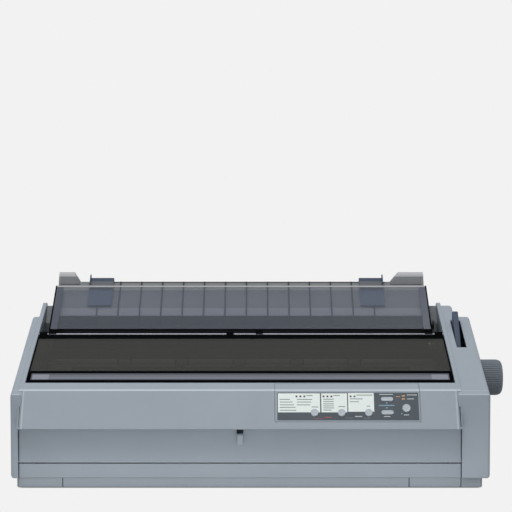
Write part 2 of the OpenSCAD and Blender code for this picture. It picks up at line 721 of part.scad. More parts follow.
module rib_outline() {
    n = [-sin(guide_slope), cos(guide_slope)] * rib_h;
    bend = [guide_d, guide_z];
    polygon([guide_top, guide_top + [-2, -1] + n * 0.6, bend + n,
             bend + [-9, -8.5] + [-rib_h * 0.8, rib_h * 0.3],
             bend + [-14, -20], bend + [-9, -8.5], bend]);
}

module ear_outline() {
    polygon([guide_top + [-10, -7.4], guide_top + [-6, 2], guide_top + [4, ear_z - guide_top[1]],
             guide_top + [9, ear_z - guide_top[1] - 4], guide_top + [3, -6]]);
}

// Ear: a sloped block that tapers towards the middle of the guide
module ear(x, top, run) {
    rise = ear_z - guide_top[1];
    hull() {
        slab(x, x + top + run) polygon([guide_top + [-6, -4], guide_top + [-6, -2], guide_top + [6, 0],
                                        guide_top + [6, -4]]);
        slab(x, x + top) polygon([guide_top + [-1, rise - 3.2], guide_top + [4, rise],
                                  guide_top + [8, rise - 3], guide_top + [4, rise - 6]]);
    }
}

edge_w = 34;
// Edge guide: a foot behind the plate, a face on it and a tip over its top edge
module edge_guide(x, dir) color([0.36, 0.42, 0.5]) printer() translate([x, 0, 0]) scale([dir, 1, 1])
    translate([0, guide_top[0], guide_top[1]]) rotate([guide_slope, 0, 0]) {
    face = rib_h + 0.3;
    back = -guide_t - 2.2;
    // face over the ribs, with its stop wall along the outer edge
    block([0, -55, face], [edge_w, 3.4, face + 1]);
    block([0, -12, face], [1.6, 6.5, face + 5]);
    // bridge over the top edge and foot behind the plate
    block([0, 0.3, back], [edge_w, 3.4, face + 0.1]);
    block([2, -10, back], [edge_w - 2, 0.4, -guide_t - 0.3]);
    block([6, -8.6, -guide_t - 0.5], [edge_w - 6, -5.4, -guide_t + 0.5]);
}
left_edge_x = guide_x0 + 44.5;
right_edge_x = guide_x1 - 58;
module left_edge_guide() edge_guide(left_edge_x, 1);
module right_edge_guide() edge_guide(right_edge_x, -1);

// ---- Frame plates and paper path ----

module frame_outline() {
    polygon([[pulley_d - 14, tray_z + foot_h], [pulley_d - 14, rail_z + 28], [platen_d - 26, rail_z + 28],
             [platen_d - 26, platen_z + 21], [hinge_d - 12, hinge_z - 16],
             [hinge_d + 10, hinge_z - 8], [guide_pivot_d - 9, guide_pivot_z + 8],
             [guide_pivot_d + 7, guide_pivot_z + 8],
             [guide_pivot_d + 10, tractor_z + 24], [tractor_d + 34, tractor_z + 10], [tractor_d + 40, 60],
             [tractor_d + 48, tray_z + foot_h]]);
}

module frame_plate(x) color(steel) printer() difference() {
    slab(x, x + plate_t) frame_outline();
    bar(x - 1, x + plate_t + 1, platen_shaft_r + running, [platen_d, platen_z]);
    bar(x - 1, x + plate_t + 1, rail_r + running, [rail_d, rail_z]);
    bar(x - 1, x + plate_t + 1, tractor_shaft_w / 2 + running, [tractor_d, tractor_z]);
    bar(x - 1, x + plate_t + 1, support_r + running, support_at);
    bar(x - 1, x + plate_t + 1, 3 + running, [guide_pivot_d, guide_pivot_z]);
    bar(x - 1, x + plate_t + 1, 2.5 + running, [bail_pivot_d, bail_pivot_z]);
    bar(x - 1, x + plate_t + 1, 8, pinion);
    if (x == frame_x1) bar(x - 1, x + plate_t + 1, stud_r + running, [thick_d, thick_z]);
    block([x - 1, platen_d + 20, tray_z + 16], [x + plate_t + 1, tractor_d - 32, 52]);
}
support_at = [tractor_d + 26, tractor_z - 8];
support_r = 4;
stud_r = 2.5;
module left_frame() {
    frame_plate(frame_x0);
    // studs of the idler gears
    color(steel) printer() for (at = [first, second]) bar(gear_x - 0.6, frame_x0 + 1, stud_r, at);
}
module right_frame() frame_plate(frame_x1);

// Sheet-metal chute: it wraps behind and under the platen and leads to the tractors
module paper_chute() color(steel * 0.8) printer()
    slab(frame_x0 + plate_t, frame_x1) polygon([
        [platen_d - 6, platen_z - platen_r - 4], [platen_d + 10, platen_z - platen_r - 4],
        [platen_d + platen_r + 4, platen_z - 8], [platen_d + platen_r + 12, platen_z + 4],
        [tractor_d - 40, tractor_z + 12], [tractor_d - 40, tractor_z + 14],
        [platen_d + platen_r + 11, platen_z + 6.5], [platen_d + platen_r + 2, platen_z - 7],
        [platen_d + 9, platen_z - platen_r - 2], [platen_d - 6, platen_z - platen_r - 2]]);

// ---- Platen and gears ----

roller_x0 = mid_x - platen_l / 2;
module platen_roller() color(black) printer() difference() {
    bar(roller_x0, roller_x0 + platen_l, platen_r, [platen_d, platen_z]);
    bar(roller_x0 - 1, roller_x0 + platen_l + 1, platen_shaft_r, [platen_d, platen_z]);
}
module platen_shaft() color(steel) printer()
    bar(gear_x - 1.4, case_x1 + knob_reach - 8, platen_shaft_r, [platen_d, platen_z]);

// Toothed outline with a tooth centred on the phase angle
module toothed(teeth, phase) {
    pitch = gear_m * teeth / 2;
    step = 360 / teeth;
    polygon([for (i = [0:teeth - 1]) for (p = [[pitch - 1.1 * gear_m, -0.27], [pitch + 0.8 * gear_m, -0.11],
                                               [pitch + 0.8 * gear_m, 0.11], [pitch - 1.1 * gear_m, 0.27]])
        p[0] * [cos(phase + step * (i + p[1])), sin(phase + step * (i + p[1]))]]);
}
module gear(teeth, phase, at, bore) difference() {
    slab(gear_x, gear_x + gear_w) translate(at) toothed(teeth, phase);
    bar(gear_x - 1, gear_x + gear_w + 1, bore, at);
}
module platen_gear() color([0.85, 0.84, 0.8]) printer()
    gear(platen_teeth, 0, [platen_d, platen_z], platen_shaft_r);
module first_idler_gear() color([0.85, 0.84, 0.8]) printer()
    gear(idler_teeth, first_phase, first, stud_r + running);
module second_idler_gear() color([0.85, 0.84, 0.8]) printer()
    gear(idler_teeth, second_phase, second, stud_r + running);
module motor_pinion() color([0.8, 0.65, 0.3]) printer()
    gear(pinion_teeth, pinion_phase, pinion, 1.5 + running);

module platen_knob() color([0.3, 0.32, 0.34]) printer() {
    x1 = case_x1 + knob_reach;
    at = [platen_d, platen_z];
    difference() {
        union() {
            bar(case_x1 + 1, x1 - 4, knob_dia / 2, at);
            translate([x1 - 4, at[0], at[1]]) rotate([0, 90, 0])
                rotate_extrude($fn = 64) polygon([[0, 0], [knob_dia / 2, 0], [knob_dia / 2 - 0.6, 2],
                                                  [knob_dia / 2 - 2, 3.4],
                                        [knob_dia / 2 - 4, 4], [0, 4]]);
        }
        bar(case_x1 - 1, case_x1 + knob_reach - 8, platen_shaft_r, at);
        // grip flutes
        for (a = [0:10:350])
            bar(case_x1, x1 - 5, 0.8, at + (knob_dia / 2 + 0.1) * [cos(a), sin(a)], $fn = 16);
    }
}

module feed_motor() color([0.3, 0.3, 0.31]) printer() {
    x = frame_x0 + plate_t + running;
    bar(x, x + 34, motor_r, pinion);
    bar(gear_x + gear_w + 1, x + eps, 7, pinion);
    bar(gear_x, x, 1.5, pinion);
}

// ---- Tension unit over the platen ----

module tension_unit() color([0.25, 0.26, 0.27]) printer() {
    xa = frame_x0 + plate_t + gap;
    xb = frame_x1 - gap;
    difference() {
        union() {
            // top bar
            slab(xa, xb) translate([bail_d, bail_z])
                polygon([[-2, bail_roller_r + 2], [14, bail_roller_r + 8.5], [26, bail_roller_r + 11],
                         [26, bail_roller_r + 9], [14, bail_roller_r + 6.5], [-1, bail_roller_r + 0.4]]);
            // end arms
            for (x = [xa, xb - 3])
                slab(x, x + 3) polygon([[bail_d - 4, bail_z - 3], [bail_d - 4, bail_z + 6],
                                        [bail_d + 14, bail_z + 13],
                                        [bail_d + 27, bail_z + 16], [bail_pivot_d + 5, bail_pivot_z + 3],
                                        [bail_pivot_d + 3, bail_pivot_z - 5],
                                        [bail_pivot_d - 5, bail_pivot_z - 4],
                                        [bail_d + 4, bail_z - 4]]);
            bar(xa - 2.2, xa + 1, 2.5, [bail_pivot_d, bail_pivot_z]);
            bar(xb - 1, xb + 2.2, 2.5, [bail_pivot_d, bail_pivot_z]);
            // holders beside every roller
            for (i = [0:bail_count - 1]) for (s = [-1, 1])
                slab(bail_x0 + bail_pitch * i + s * (bail_roller_w / 2 + 1.6) - 1,
                     bail_x0 + bail_pitch * i + s * (bail_roller_w / 2 + 1.6) + 1)
                         translate([bail_d, bail_z])
                    polygon([[-3.4, -3], [-3.4, 6.4], [-1, 8], [14, bail_roller_r + 7],
                             [14, bail_roller_r + 6.6], [3.4, -3]]);
        }
        bar(xa - 3, xb + 3, 1.5 + running, [bail_d, bail_z]);
    }
}
module tension_rollers() color([0.8, 0.8, 0.78]) printer() {
    bar(frame_x0 + plate_t + gap + 0.5, frame_x1 - gap - 0.5, 1.5, [bail_d, bail_z]);
    for (i = [0:bail_count - 1])
        bar(bail_x0 + bail_pitch * i - bail_roller_w / 2, bail_x0 + bail_pitch * i + bail_roller_w / 2,
            bail_roller_r, [bail_d, bail_z]);
}

// ---- Tractors ----

// the square's corners stay just inside the round ends
square_w = tractor_shaft_w / sqrt(2) - 0.2;
module square_bar(x0, x1, w, at) translate([x0, at[0] - w / 2, at[1] - w / 2]) cube([x1 - x0, w, w]);
module tractor_drive_shaft() color(steel) printer() {
    at = [tractor_d, tractor_z];
    square_bar(frame_x0 + plate_t + 1, frame_x1 - 1, square_w, at);
    bar(gear_x - 1, frame_x0 + plate_t + 1 + eps, tractor_shaft_w / 2, at);
    bar(frame_x1 - 1 - eps, frame_x1 + plate_t + 2, tractor_shaft_w / 2, at);
    slab(gear_x, gear_x + gear_w) translate(at) toothed(tractor_teeth, tractor_phase);
}
module tractor_support_shaft() color(steel) printer()
    bar(frame_x0, frame_x1 + plate_t, support_r, support_at);

tractor_left_x = mid_x - 206;
tractor_right_x = mid_x + 182;
sprocket_r = 15;
sprocket_w = 8;
module tractor(x) color([0.22, 0.23, 0.25]) printer() difference() {
    union() {
        slab(x, x + tractor_w)
            polygon([[tractor_d - 24, tractor_z - 12], [tractor_d - 24, tractor_z + 10],
                     [tractor_d - 18, tractor_z + 17],
                     [tractor_d + 19, tractor_z + 17], [tractor_d + 33, tractor_z + 4],
                     [tractor_d + 33, tractor_z - 18],
                     [tractor_d - 16, tractor_z - 20]]);
        // ears of the cover and of the lock lever
        for (e = [x, x + tractor_w - 3.5]) slab(e, e + 3.5) {
            polygon([[tractor_d + 18, tractor_z + 16], flap_pivot + [-3, 3], flap_pivot + [3, 3],
                     flap_pivot + [5, -14]]);
            polygon([[tractor_d + 32, tractor_z - 2], lock_pivot + [3, 4], lock_pivot + [4, -4],
                     [tractor_d + 32, tractor_z - 17]]);
        }
    }
    bar(x - 1, x + tractor_w + 1, pin_r + running, flap_pivot);
    bar(x - 1, x + tractor_w + 1, pin_r + running, lock_pivot);
    // the sprocket's slot, open at the top
    block([x + 6, tractor_d - sprocket_r - 3.2, tractor_z - sprocket_r - 3.2],
          [x + 6 + sprocket_w + 0.8, tractor_d + sprocket_r + 3.2, tractor_z + 30]);
    bar(x - 1, x + tractor_w + 1, tractor_shaft_w / 2 + 0.6, [tractor_d, tractor_z]);
    bar(x - 1, x + tractor_w + 1, support_r + running, support_at);
}
module left_tractor() tractor(tractor_left_x);
module right_tractor() tractor(tractor_right_x);

module sprocket(x) color([0.8, 0.8, 0.78]) printer() difference() {
    union() {
        bar(x + 6.4, x + 6.4 + sprocket_w, sprocket_r, [tractor_d, tractor_z]);
        for (a = [0:45:315])
            translate([x + 6.4 + sprocket_w / 2, tractor_d, tractor_z]) rotate([a, 0, 0])
                translate([0, 0, sprocket_r - 1]) cylinder(h = 3.6, r1 = 1.9, r2 = 1.2);
    }
    w = square_w + 0.2;
    translate([x, tractor_d - w / 2, tractor_z - w / 2]) cube([tractor_w, w, w]);
}
module left_sprocket() sprocket(tractor_left_x);
module right_sprocket() sprocket(tractor_right_x);

flap_pivot = [tractor_d + 24, tractor_z + 20.4];
module tractor_cover(x) color([0.3, 0.31, 0.33]) printer() {
    top = tractor_z + 17 + gap;
    difference() {
        union() {
            slab(x + 4, x + tractor_w - 4)
                polygon([[tractor_d - 22, top], [tractor_d - 22, top + 2], [tractor_d + 16, top + 2],
                         flap_pivot + [-1, 2.6], flap_pivot + [0, -1], [tractor_d + 17, top]]);
            slab(x + 0.5, x + tractor_w - 0.5)
                polygon([[tractor_d - 22, top], [tractor_d - 22, top + 2], [tractor_d + 14, top + 2],
                         [tractor_d + 14, top]]);
            bar(x + 4, x + tractor_w - 4, 2.8, flap_pivot);
            bar(x + 1, x + tractor_w - 1, pin_r, flap_pivot);
        }
        block([x + 5, tractor_d - 12, top - 1], [x + 7.6 + sprocket_w, tractor_d + 12, top + 8]);
    }
}
module left_tractor_cover() tractor_cover(tractor_left_x);
module right_tractor_cover() tractor_cover(tractor_right_x);

lock_pivot = [tractor_d + 37.5, tractor_z - 10];
module lock_lever(x) color(slate) printer() {
    bar(x + 4, x + tractor_w - 4, 4, lock_pivot);
    bar(x + 1, x + tractor_w - 1, pin_r, lock_pivot);
    slab(x + 7, x + tractor_w - 7)
        polygon([lock_pivot + [-2, 3], lock_pivot + [8, 20], lock_pivot + [12, 20], lock_pivot + [4, 0]]);
}
module left_lock_lever() lock_lever(tractor_left_x);
module right_lock_lever() lock_lever(tractor_right_x);

// ---- Carriage ----

module carriage_shaft() color(steel) printer() bar(frame_x0, frame_x1 + plate_t, rail_r, [rail_d, rail_z]);

module front_rail() color(steel * 0.85) printer() difference() {
    union() {
        block([frame_x0 + plate_t, pulley_d - 20, rail_plate_z - 3],
            [frame_x1, pulley_d - 8, rail_plate_z]);
        block([frame_x0 + plate_t, pulley_d - 20, rail_plate_z - 3],
            [drive_x + 22, pulley_d + 22, rail_plate_z]);
        block([idle_x - 14, pulley_d - 20, rail_plate_z - 3], [frame_x1, pulley_d + 12, rail_plate_z]);
        translate([idle_x, pulley_d, rail_plate_z - eps])
            cylinder(h = belt_z + belt_w - rail_plate_z, r = 2);
    }
    translate([drive_x, pulley_d, rail_plate_z - 4]) cylinder(h = 6, r = 4);
}

module carriage() color(black) printer() difference() {
    x = carriage_x0;
    union() {
        slab(x, x + carriage_w)
            polygon([[carriage_d0, rail_z - 12], [carriage_d0, rail_z + 9], [head_d0 + 2, rail_z + 14],
                     [head_d0 + 20, rail_z + 14], [head_d0 + 20, rail_z - 4], [rail_d + 12, rail_z - 12]]);
        // front foot on the rail
        slab(x + 12, x + carriage_w - 12)
            polygon([[pulley_d - 18, rail_plate_z + gap], [carriage_d0 + 1, rail_plate_z + gap + 1],
                     [carriage_d0 + 1, belt_z - 1.2], [pulley_d - 18, rail_plate_z + gap + 5]]);
    }
    bar(x - 1, x + carriage_w + 1, rail_r + running, [rail_d, rail_z]);
}

head_z0 = rail_z + 14.05;
module print_head() color([0.35, 0.36, 0.38]) printer() {
    x = carriage_x0 + carriage_w / 2;
    d1 = head_d0 + head_l;
    block([x - 17, head_d0, head_z0], [x + 17, d1, platen_z + 9]);
    // cooling fins
    for (i = [0:4])
        block([x - 17 + 8 * i, head_d0, platen_z + 9 - eps], [x - 15 + 8 * i, d1, platen_z + 13]);
    // nose with the pin guide
    slab(x - 6, x + 6) polygon([[d1 - 0.1, platen_z - 8], [head_front_d, platen_z - 3],
                                [head_front_d, platen_z + 3],
                                [d1 - 0.1, platen_z + 8]]);
}

module ribbon_mask() color([0.75, 0.75, 0.72]) printer() difference() {
    x = carriage_x0 + 4;
    union() {
        block([x, head_front_d + 0.7, head_z0], [x + carriage_w - 8, head_front_d + 1.2, platen_z + 9]);
        block([x, head_front_d - 8.7, head_z0], [x + carriage_w - 8, head_front_d + 1, head_z0 + 1.2]);
    }
    block([x + 19, head_front_d, platen_z - 4], [x + 33, head_front_d + 3, platen_z + 4]);
}

module carriage_motor() color([0.3, 0.3, 0.31]) printer() {
    translate([drive_x, pulley_d, rail_plate_z - 3 - 46 - running]) cylinder(h = 46, r = motor_r - 1);
    translate([drive_x, pulley_d, rail_plate_z - 4])
        cylinder(h = belt_z + belt_w - rail_plate_z + 4, r = 1.5);
}
module belt_pulley(x, bore) translate([x, pulley_d, 0]) difference() {
    union() {
        translate([0, 0, belt_z - 2]) cylinder(h = belt_w + 3.2, r = pulley_r - running);
        translate([0, 0, belt_z - 2]) cylinder(h = 1.4, r = pulley_r + 2);
        translate([0, 0, belt_z + belt_w + 0.4]) cylinder(h = 1.2, r = pulley_r + 2);
    }
    translate([0, 0, belt_z - 3]) cylinder(h = belt_w + 8, r = bore);
}
module drive_pulley() color([0.8, 0.65, 0.3]) printer() belt_pulley(drive_x, 1.5 + running);
module idler_pulley() color([0.8, 0.8, 0.78]) printer() belt_pulley(idle_x, 2 + running);

module timing_belt() color(black) printer() translate([0, 0, belt_z]) linear_extrude(height = belt_w)
    difference() {
    belt_loop(pulley_r + belt_t);
    belt_loop(pulley_r);
}
module belt_loop(r) {
    for (x = [drive_x, idle_x]) translate([x, pulley_d]) circle(r = r);
    translate([drive_x, pulley_d - r]) square([idle_x - drive_x, 2 * r]);
}

cartridge_x0 = mid_x - cartridge_w / 2;
cartridge_x1 = cartridge_x0 + cartridge_w;
cart_d0 = cover_d + 1.4;
cart_d1 = head_d0 - 5;
cart_drop = 11;
module ribbon_cartridge() color(black) printer() {
    slab(cartridge_x0, cartridge_x1)
        polygon([[cart_d0, rail_z + 12], [cart_d0, deck(cart_d0) - cart_drop],
                 [cart_d1, deck(cart_d1) - cart_drop],
                 [cart_d1, rail_z + 18]]);
    // pegs that hang in the frame plates
    peg = [(cart_d0 + cart_d1) / 2, rail_z + 24];
    bar(frame_x0 + plate_t + gap, cartridge_x0 + 1, 3, peg);
    bar(cartridge_x1 - 1, frame_x1 - gap, 3, peg);
    // arms that lead the ribbon past the platen's ends
    for (x = [cartridge_x0, cartridge_x1 - 16])
        slab(x, x + 16) polygon([[cart_d1 - eps, platen_z - 6], [cart_d1 - eps, platen_z + 8],
                                 [head_front_d - 2, platen_z + 6], [head_front_d - 2, platen_z - 6]]);
}
knob_x = cartridge_x0 + 40;
knob_d = (cart_d0 + cart_d1) / 2;
module ribbon_knob() color([0.3, 0.32, 0.34]) printer()
    translate([knob_x, knob_d, deck(knob_d) - cart_drop + 0.2]) rotate([deck_slope, 0, 0]) {
        cylinder(h = 3.2, r = 8);
        translate([-6, -1, 3]) cube([12, 2, 2]);
    }

// ---- Levers, switch and boards ----

module release_lever() color(slate) printer() difference() {
    x = lever_x;
    p = [lever_pivot_d, lever_pivot_z];
    union() {
        slab(x, x + lever_w)
            polygon([p + [9, 0], p + [8, 60], p + [2, 102], p + [-1, 106.5], p + [-5, 107], p + [-8, 104],
                     p + [-26, 84], p + [-46, 62], p + [-40, 50], p + [-9, 0]]);
        bar(x, x + lever_w, 9, p);
    }
    bar(x - 1, x + lever_w + 1, lever_bore + running, p);
}

thick_d = platen_d - 32;
thick_z = platen_z - 9;
module thickness_lever() color(slate) printer() {
    x = frame_x1 + plate_t + gap;
    bar(frame_x1 - 1, x + eps, stud_r, [thick_d, thick_z]);
    bar(x, x + 3, 6, [thick_d, thick_z]);
    slab(x, x + 3) polygon([[thick_d - 4, thick_z], [thick_d - 3, thick_z + 24],
                            [thick_d + 3, thick_z + 26], [thick_d + 4, thick_z]]);
}

board_z = tray_z + pillar_h;
module main_board() color([0.1, 0.35, 0.2]) printer() {
    block([board_a[0], board_d0, board_z], [board_a[1], board_d1, board_z + 1.6]);
    // chips and connectors: place on the board, length, width and height
    for (c = [[30, 24, 32, 32, 4], [82, 32, 22, 12, 4], [120, 28, 22, 12, 4], [14, 72, 14, 30, 12],
              [150, 32, 30, 14, 9]])
        translate([board_a[0] + c[0], board_d0 + c[1], board_z + 1.6 - eps]) cube([c[2], c[3], c[4] + eps]);
    for (x = [70, 92, 114]) translate([board_a[0] + x, board_d0 + 72, board_z + 1.6 - eps])
        cylinder(h = 18, r = 7);
}
module power_supply() color([0.2, 0.3, 0.22]) printer() {
    block([supply_a[0], board_d0, board_z], [supply_a[1], board_d1, board_z + 1.6]);
    // transformer, heat sink and reservoir capacitors
    translate([supply_a[0], board_d0, board_z + 1.6 - eps]) {
        translate([56, 32, 0]) cube([44, 44, 38.4 + eps]);
        for (i = [0:5]) translate([114 + 6 * i, 22, 0]) cube([2, 60, 32.4 + eps]);
        translate([114, 20, 0]) cube([32, 3, 32.4 + eps]);
        for (x = [18, 42]) translate([x, 17, 0]) cylinder(h = 30, r = 10);
    }
}

module power_switch() color(black) printer() {
    // rocker with two sloping halves
    translate([case_x0 + 2.3, switch_d, switch_z]) linear_extrude(height = switch_h - 1, center = true)
        polygon([[-0.6, -switch_l / 2 + 0.6], [1.2, 0], [-2.2, switch_l / 2 - 0.6],
                 [3, switch_l / 2 - 1.5], [5, 0],
                 [3, -switch_l / 2 + 1.5]]);
}

module rear_fittings() color([0.25, 0.26, 0.28]) printer() {
    for (f = rear_openings) difference() {
        depth = f == slot_cover ? wall : 14;
        block([f[0], overall_d - depth - 0.2, f[2]], [f[1], overall_d - 0.2, f[3]]);
        if (f != slot_cover)
            block([f[0] + 2.4, overall_d - depth + 3, f[2] + 2.4], [f[1] - 2.4, overall_d + 1, f[3] - 2.4]);
    }
}

lower_case();
upper_case();
panel_housing();
panel_label();
indicator_lenses();
control_board();
key_left();
key_middle();
key_right();
pause_button();
feed_button_up();
feed_button_down();
front_cover();
printer_cover();
rear_flap();
hinge_rod();
paper_guide();
left_edge_guide();
right_edge_guide();
left_frame();
right_frame();
paper_chute();
platen_roller();
platen_shaft();
platen_gear();
platen_knob();
first_idler_gear();
second_idler_gear();
feed_motor();
motor_pinion();
tension_unit();
tension_rollers();
tractor_drive_shaft();
tractor_support_shaft();
left_tractor();
right_tractor();
left_sprocket();
right_sprocket();
left_tractor_cover();
right_tractor_cover();
left_lock_lever();
right_lock_lever();
carriage_shaft();
front_rail();
carriage();
print_head();
ribbon_mask();
carriage_motor();
drive_pulley();
idler_pulley();
timing_belt();
ribbon_cartridge();
ribbon_knob();
release_lever();
thickness_lever();
main_board();
power_supply();
power_switch();
rear_fittings();
rubber_feet();
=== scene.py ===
import math

import bmesh
import bpy
from mathutils import Matrix, Vector


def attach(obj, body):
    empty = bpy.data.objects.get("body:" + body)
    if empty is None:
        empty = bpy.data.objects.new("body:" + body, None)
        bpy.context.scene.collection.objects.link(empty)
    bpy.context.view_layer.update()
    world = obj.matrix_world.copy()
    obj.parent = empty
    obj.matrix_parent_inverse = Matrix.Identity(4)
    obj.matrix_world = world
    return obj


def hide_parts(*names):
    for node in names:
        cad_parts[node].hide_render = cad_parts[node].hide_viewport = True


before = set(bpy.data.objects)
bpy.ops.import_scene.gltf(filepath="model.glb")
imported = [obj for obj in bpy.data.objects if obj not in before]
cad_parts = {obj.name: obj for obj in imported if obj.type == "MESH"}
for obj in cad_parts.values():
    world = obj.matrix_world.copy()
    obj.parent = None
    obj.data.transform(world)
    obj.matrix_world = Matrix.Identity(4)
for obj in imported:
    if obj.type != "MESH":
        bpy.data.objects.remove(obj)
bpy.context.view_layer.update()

# ---- Camera, floor and light ----
# A plain pale studio: the camera stands two metres in front of the printer and a little above it.
# A soft dome of light lies over everything, and two wide soft lamps hang over the front and the
# middle. The reflector card on the table in front of the printer lights it from below.
PHOTO_SIDE = 512
FOCAL_PIXELS = 1590
SENSOR = 36
CAMERA_PLACE = (-0.0079, -2.18078, 0.42478)
CAMERA_DIP = 3.6747
camera = bpy.data.objects.new("camera", bpy.data.cameras.new("camera"))
camera.data.sensor_width = SENSOR
camera.data.lens = SENSOR * FOCAL_PIXELS / PHOTO_SIDE
camera.data.clip_end = 50
camera.location = CAMERA_PLACE
camera.rotation_euler = (math.radians(90 - CAMERA_DIP), 0, 0)
bpy.context.collection.objects.link(camera)
bpy.context.scene.camera = camera
bpy.context.scene.view_settings.view_transform = "Standard"


def linear(hex_code):
    """An sRGB hex colour as the linear one that Blender uses."""
    channels = [int(hex_code[i:i + 2], 16) / 255 for i in (1, 3, 5)]
    return [c / 12.92 if c <= 0.04045 else ((c + 0.055) / 1.055) ** 2.4 for c in channels] + [1.0]


def add(tree, kind, sockets=None, **settings):
    """Adds a shader node; a socket's value is a number, a colour, or another node's output."""
    node = tree.nodes.new("ShaderNode" + kind)
    for name, value in settings.items():
        setattr(node, name, value)
    for name, value in (sockets or {}).items():
        if isinstance(value, bpy.types.NodeSocket):
            tree.links.new(value, node.inputs[name])
        else:
            node.inputs[name].default_value = value
    return node


BACKDROP = linear("#F2F2F2")
DOME = linear("#F0F3F7")
HORIZON_STRENGTH = 0.45
ZENITH_STRENGTH = 0.63
world = bpy.data.worlds.new("studio")
bpy.context.scene.world = world
world.use_nodes = True
tree = world.node_tree
tree.nodes.clear()
aloft = add(tree, "SeparateXYZ", {0: add(tree, "TexCoord").outputs["Generated"]})
strength = add(tree, "MapRange", {"Value": aloft.outputs["Z"], "To Min": HORIZON_STRENGTH,
                                  "To Max": ZENITH_STRENGTH})
dome = add(tree, "Background", {"Color": DOME, "Strength": strength.outputs[0]})
backdrop = add(tree, "Background", {"Color": BACKDROP, "Strength": 1.0})
seen = add(tree, "LightPath").outputs["Is Camera Ray"]
mixed = add(tree, "MixShader", {0: seen, 1: dome.outputs[0], 2: backdrop.outputs[0]})
add(tree, "OutputWorld", {"Surface": mixed.outputs[0]})

# painted board: matt under the printer, where it takes the soft shadow, and one tone beyond it
FOOTPRINT = (0.29, 0.182, 0)
FOOTPRINT_MIDDLE = (-0.016, 0.0095, 0)
FOOTPRINT_BLUR = 0.008
FLOOR_REACH = 12
floor_paint = bpy.data.materials.new("painted_board")
floor_paint.use_nodes = True
tree = floor_paint.node_tree
tree.nodes.clear()
place = add(tree, "TexCoord")
centred = add(tree, "VectorMath", {0: place.outputs["Object"], 1: FOOTPRINT_MIDDLE}, operation="SUBTRACT")
folded = add(tree, "VectorMath", {0: centred.outputs[0]}, operation="ABSOLUTE")
outside = add(tree, "VectorMath", {0: folded.outputs[0], 1: FOOTPRINT}, operation="SUBTRACT")
clipped = add(tree, "VectorMath", {0: outside.outputs[0]}, operation="MAXIMUM")
spread = add(tree, "VectorMath", {0: clipped.outputs[0]}, operation="LENGTH")
far = add(tree, "MapRange", {"Value": spread.outputs["Value"], "From Max": FOOTPRINT_BLUR},
          interpolation_type="SMOOTHSTEP")
seen = add(tree, "LightPath").outputs["Is Camera Ray"]
shown = add(tree, "Math", {0: far.outputs[0], 1: seen}, operation="MULTIPLY")
matt = add(tree, "BsdfDiffuse", {"Color": linear("#C4C4C4")})
tone = add(tree, "Emission", {"Color": BACKDROP, "Strength": 1.0})
mixed = add(tree, "MixShader", {0: shown.outputs[0], 1: matt.outputs[0], 2: tone.outputs[0]})
add(tree, "OutputMaterial", {"Surface": mixed.outputs[0]})
bm = bmesh.new()
bmesh.ops.create_grid(bm, x_segments=1, y_segments=1, size=FLOOR_REACH)
floor_mesh = bpy.data.meshes.new("floor")
bm.to_mesh(floor_mesh)
bm.free()
floor_mesh.materials.append(floor_paint)
floor = bpy.data.objects.new("floor", floor_mesh)
bpy.context.collection.objects.link(floor)

# each lamp's name, place, the spot it is aimed at, its width and height in metres, and its watts
for name, spot, aim, width, height, power in (
    ("front_softbox", (-0.3, -1.2, 2.35), (0, -0.1, 0.12), 1.8, 1.0, 24.5),
    ("top_softbox", (-0.1, 0.25, 2.3), (0, 0, 0.12), 1.6, 0.4, 4),
    ("reflector_card", (-0.01, -0.235, 0.001), (-0.01, -0.2, 0.07), 0.62, 0.06, 0.21),
):
    lamp = bpy.data.objects.new(name, bpy.data.lights.new(name, "AREA"))
    lamp.data.shape = "RECTANGLE"
    lamp.data.size = width
    lamp.data.size_y = height
    lamp.data.energy = power
    lamp.location = spot
    lamp.rotation_euler = (Vector(aim) - Vector(spot)).to_track_quat("-Z", "Y").to_euler()
    lamp.visible_camera = False
    bpy.context.collection.objects.link(lamp)

# ---- Lower case ----
# The base tray, one ABS moulding: a foot strip set back under the printer, and a sill between
# the shoulders. Posts and pillars stand on its floor, and four rubber feet are pressed into
# pockets under it. Sizes are in millimetres, with depths counted from the printer's front edge.
CASE = (-319.5, 289.5)
RIM = (-310, 253.5)
HALF_DEPTH = 201
SKIRT_Z = 13.5
SILL_Z = 31.5
SILL_D = (21.5, 24.5, 32.9)
BASE = (CASE[0] + 7, CASE[1] - 9)
BASE_D = (22.5, 398.5)
FEET_X = (BASE[0] + 30, BASE[1] - 30)
FEET_D = (BASE_D[0] + 24, BASE_D[1] - 24)
SHARP_DEGREES = 25


def at(x, d, z):
    """A place in metres from its width, depth behind the front edge and height in millimetres."""
    return Vector((x, d - HALF_DEPTH, z)) / 1000


def rounded(bm, radius, steps=3):
    """Rounds every sharp edge."""
    bmesh.ops.recalc_face_normals(bm, faces=bm.faces)
    sharp = [e for e in bm.edges
             if len(e.link_faces) == 2 and e.calc_face_angle(0) > math.radians(SHARP_DEGREES)]
    if radius:
        bmesh.ops.bevel(bm, geom=sharp, offset=radius / 1000, offset_type="OFFSET", segments=steps,
                        profile=0.5, affect="EDGES", material=-1, clamp_overlap=True)
    return bm


def drawn_out(bm, corners, step):
    """A flat face on these corners, drawn out by a step into a solid."""
    face = bm.faces.new([bm.verts.new(corner) for corner in corners])
    made = bmesh.ops.extrude_face_region(bm, geom=[face])["geom"]
    bmesh.ops.translate(bm, verts=[v for v in made if isinstance(v, bmesh.types.BMVert)], vec=step)


def drawn(points, x0, x1, radius=0.8, steps=3):
    """A solid with this outline of depths and heights, drawn out from x0 to x1."""
    bm = bmesh.new()
    drawn_out(bm, [at(x0, d, z) for d, z in points], ((x1 - x0) / 1000, 0, 0))
    return rounded(bm, radius, steps)


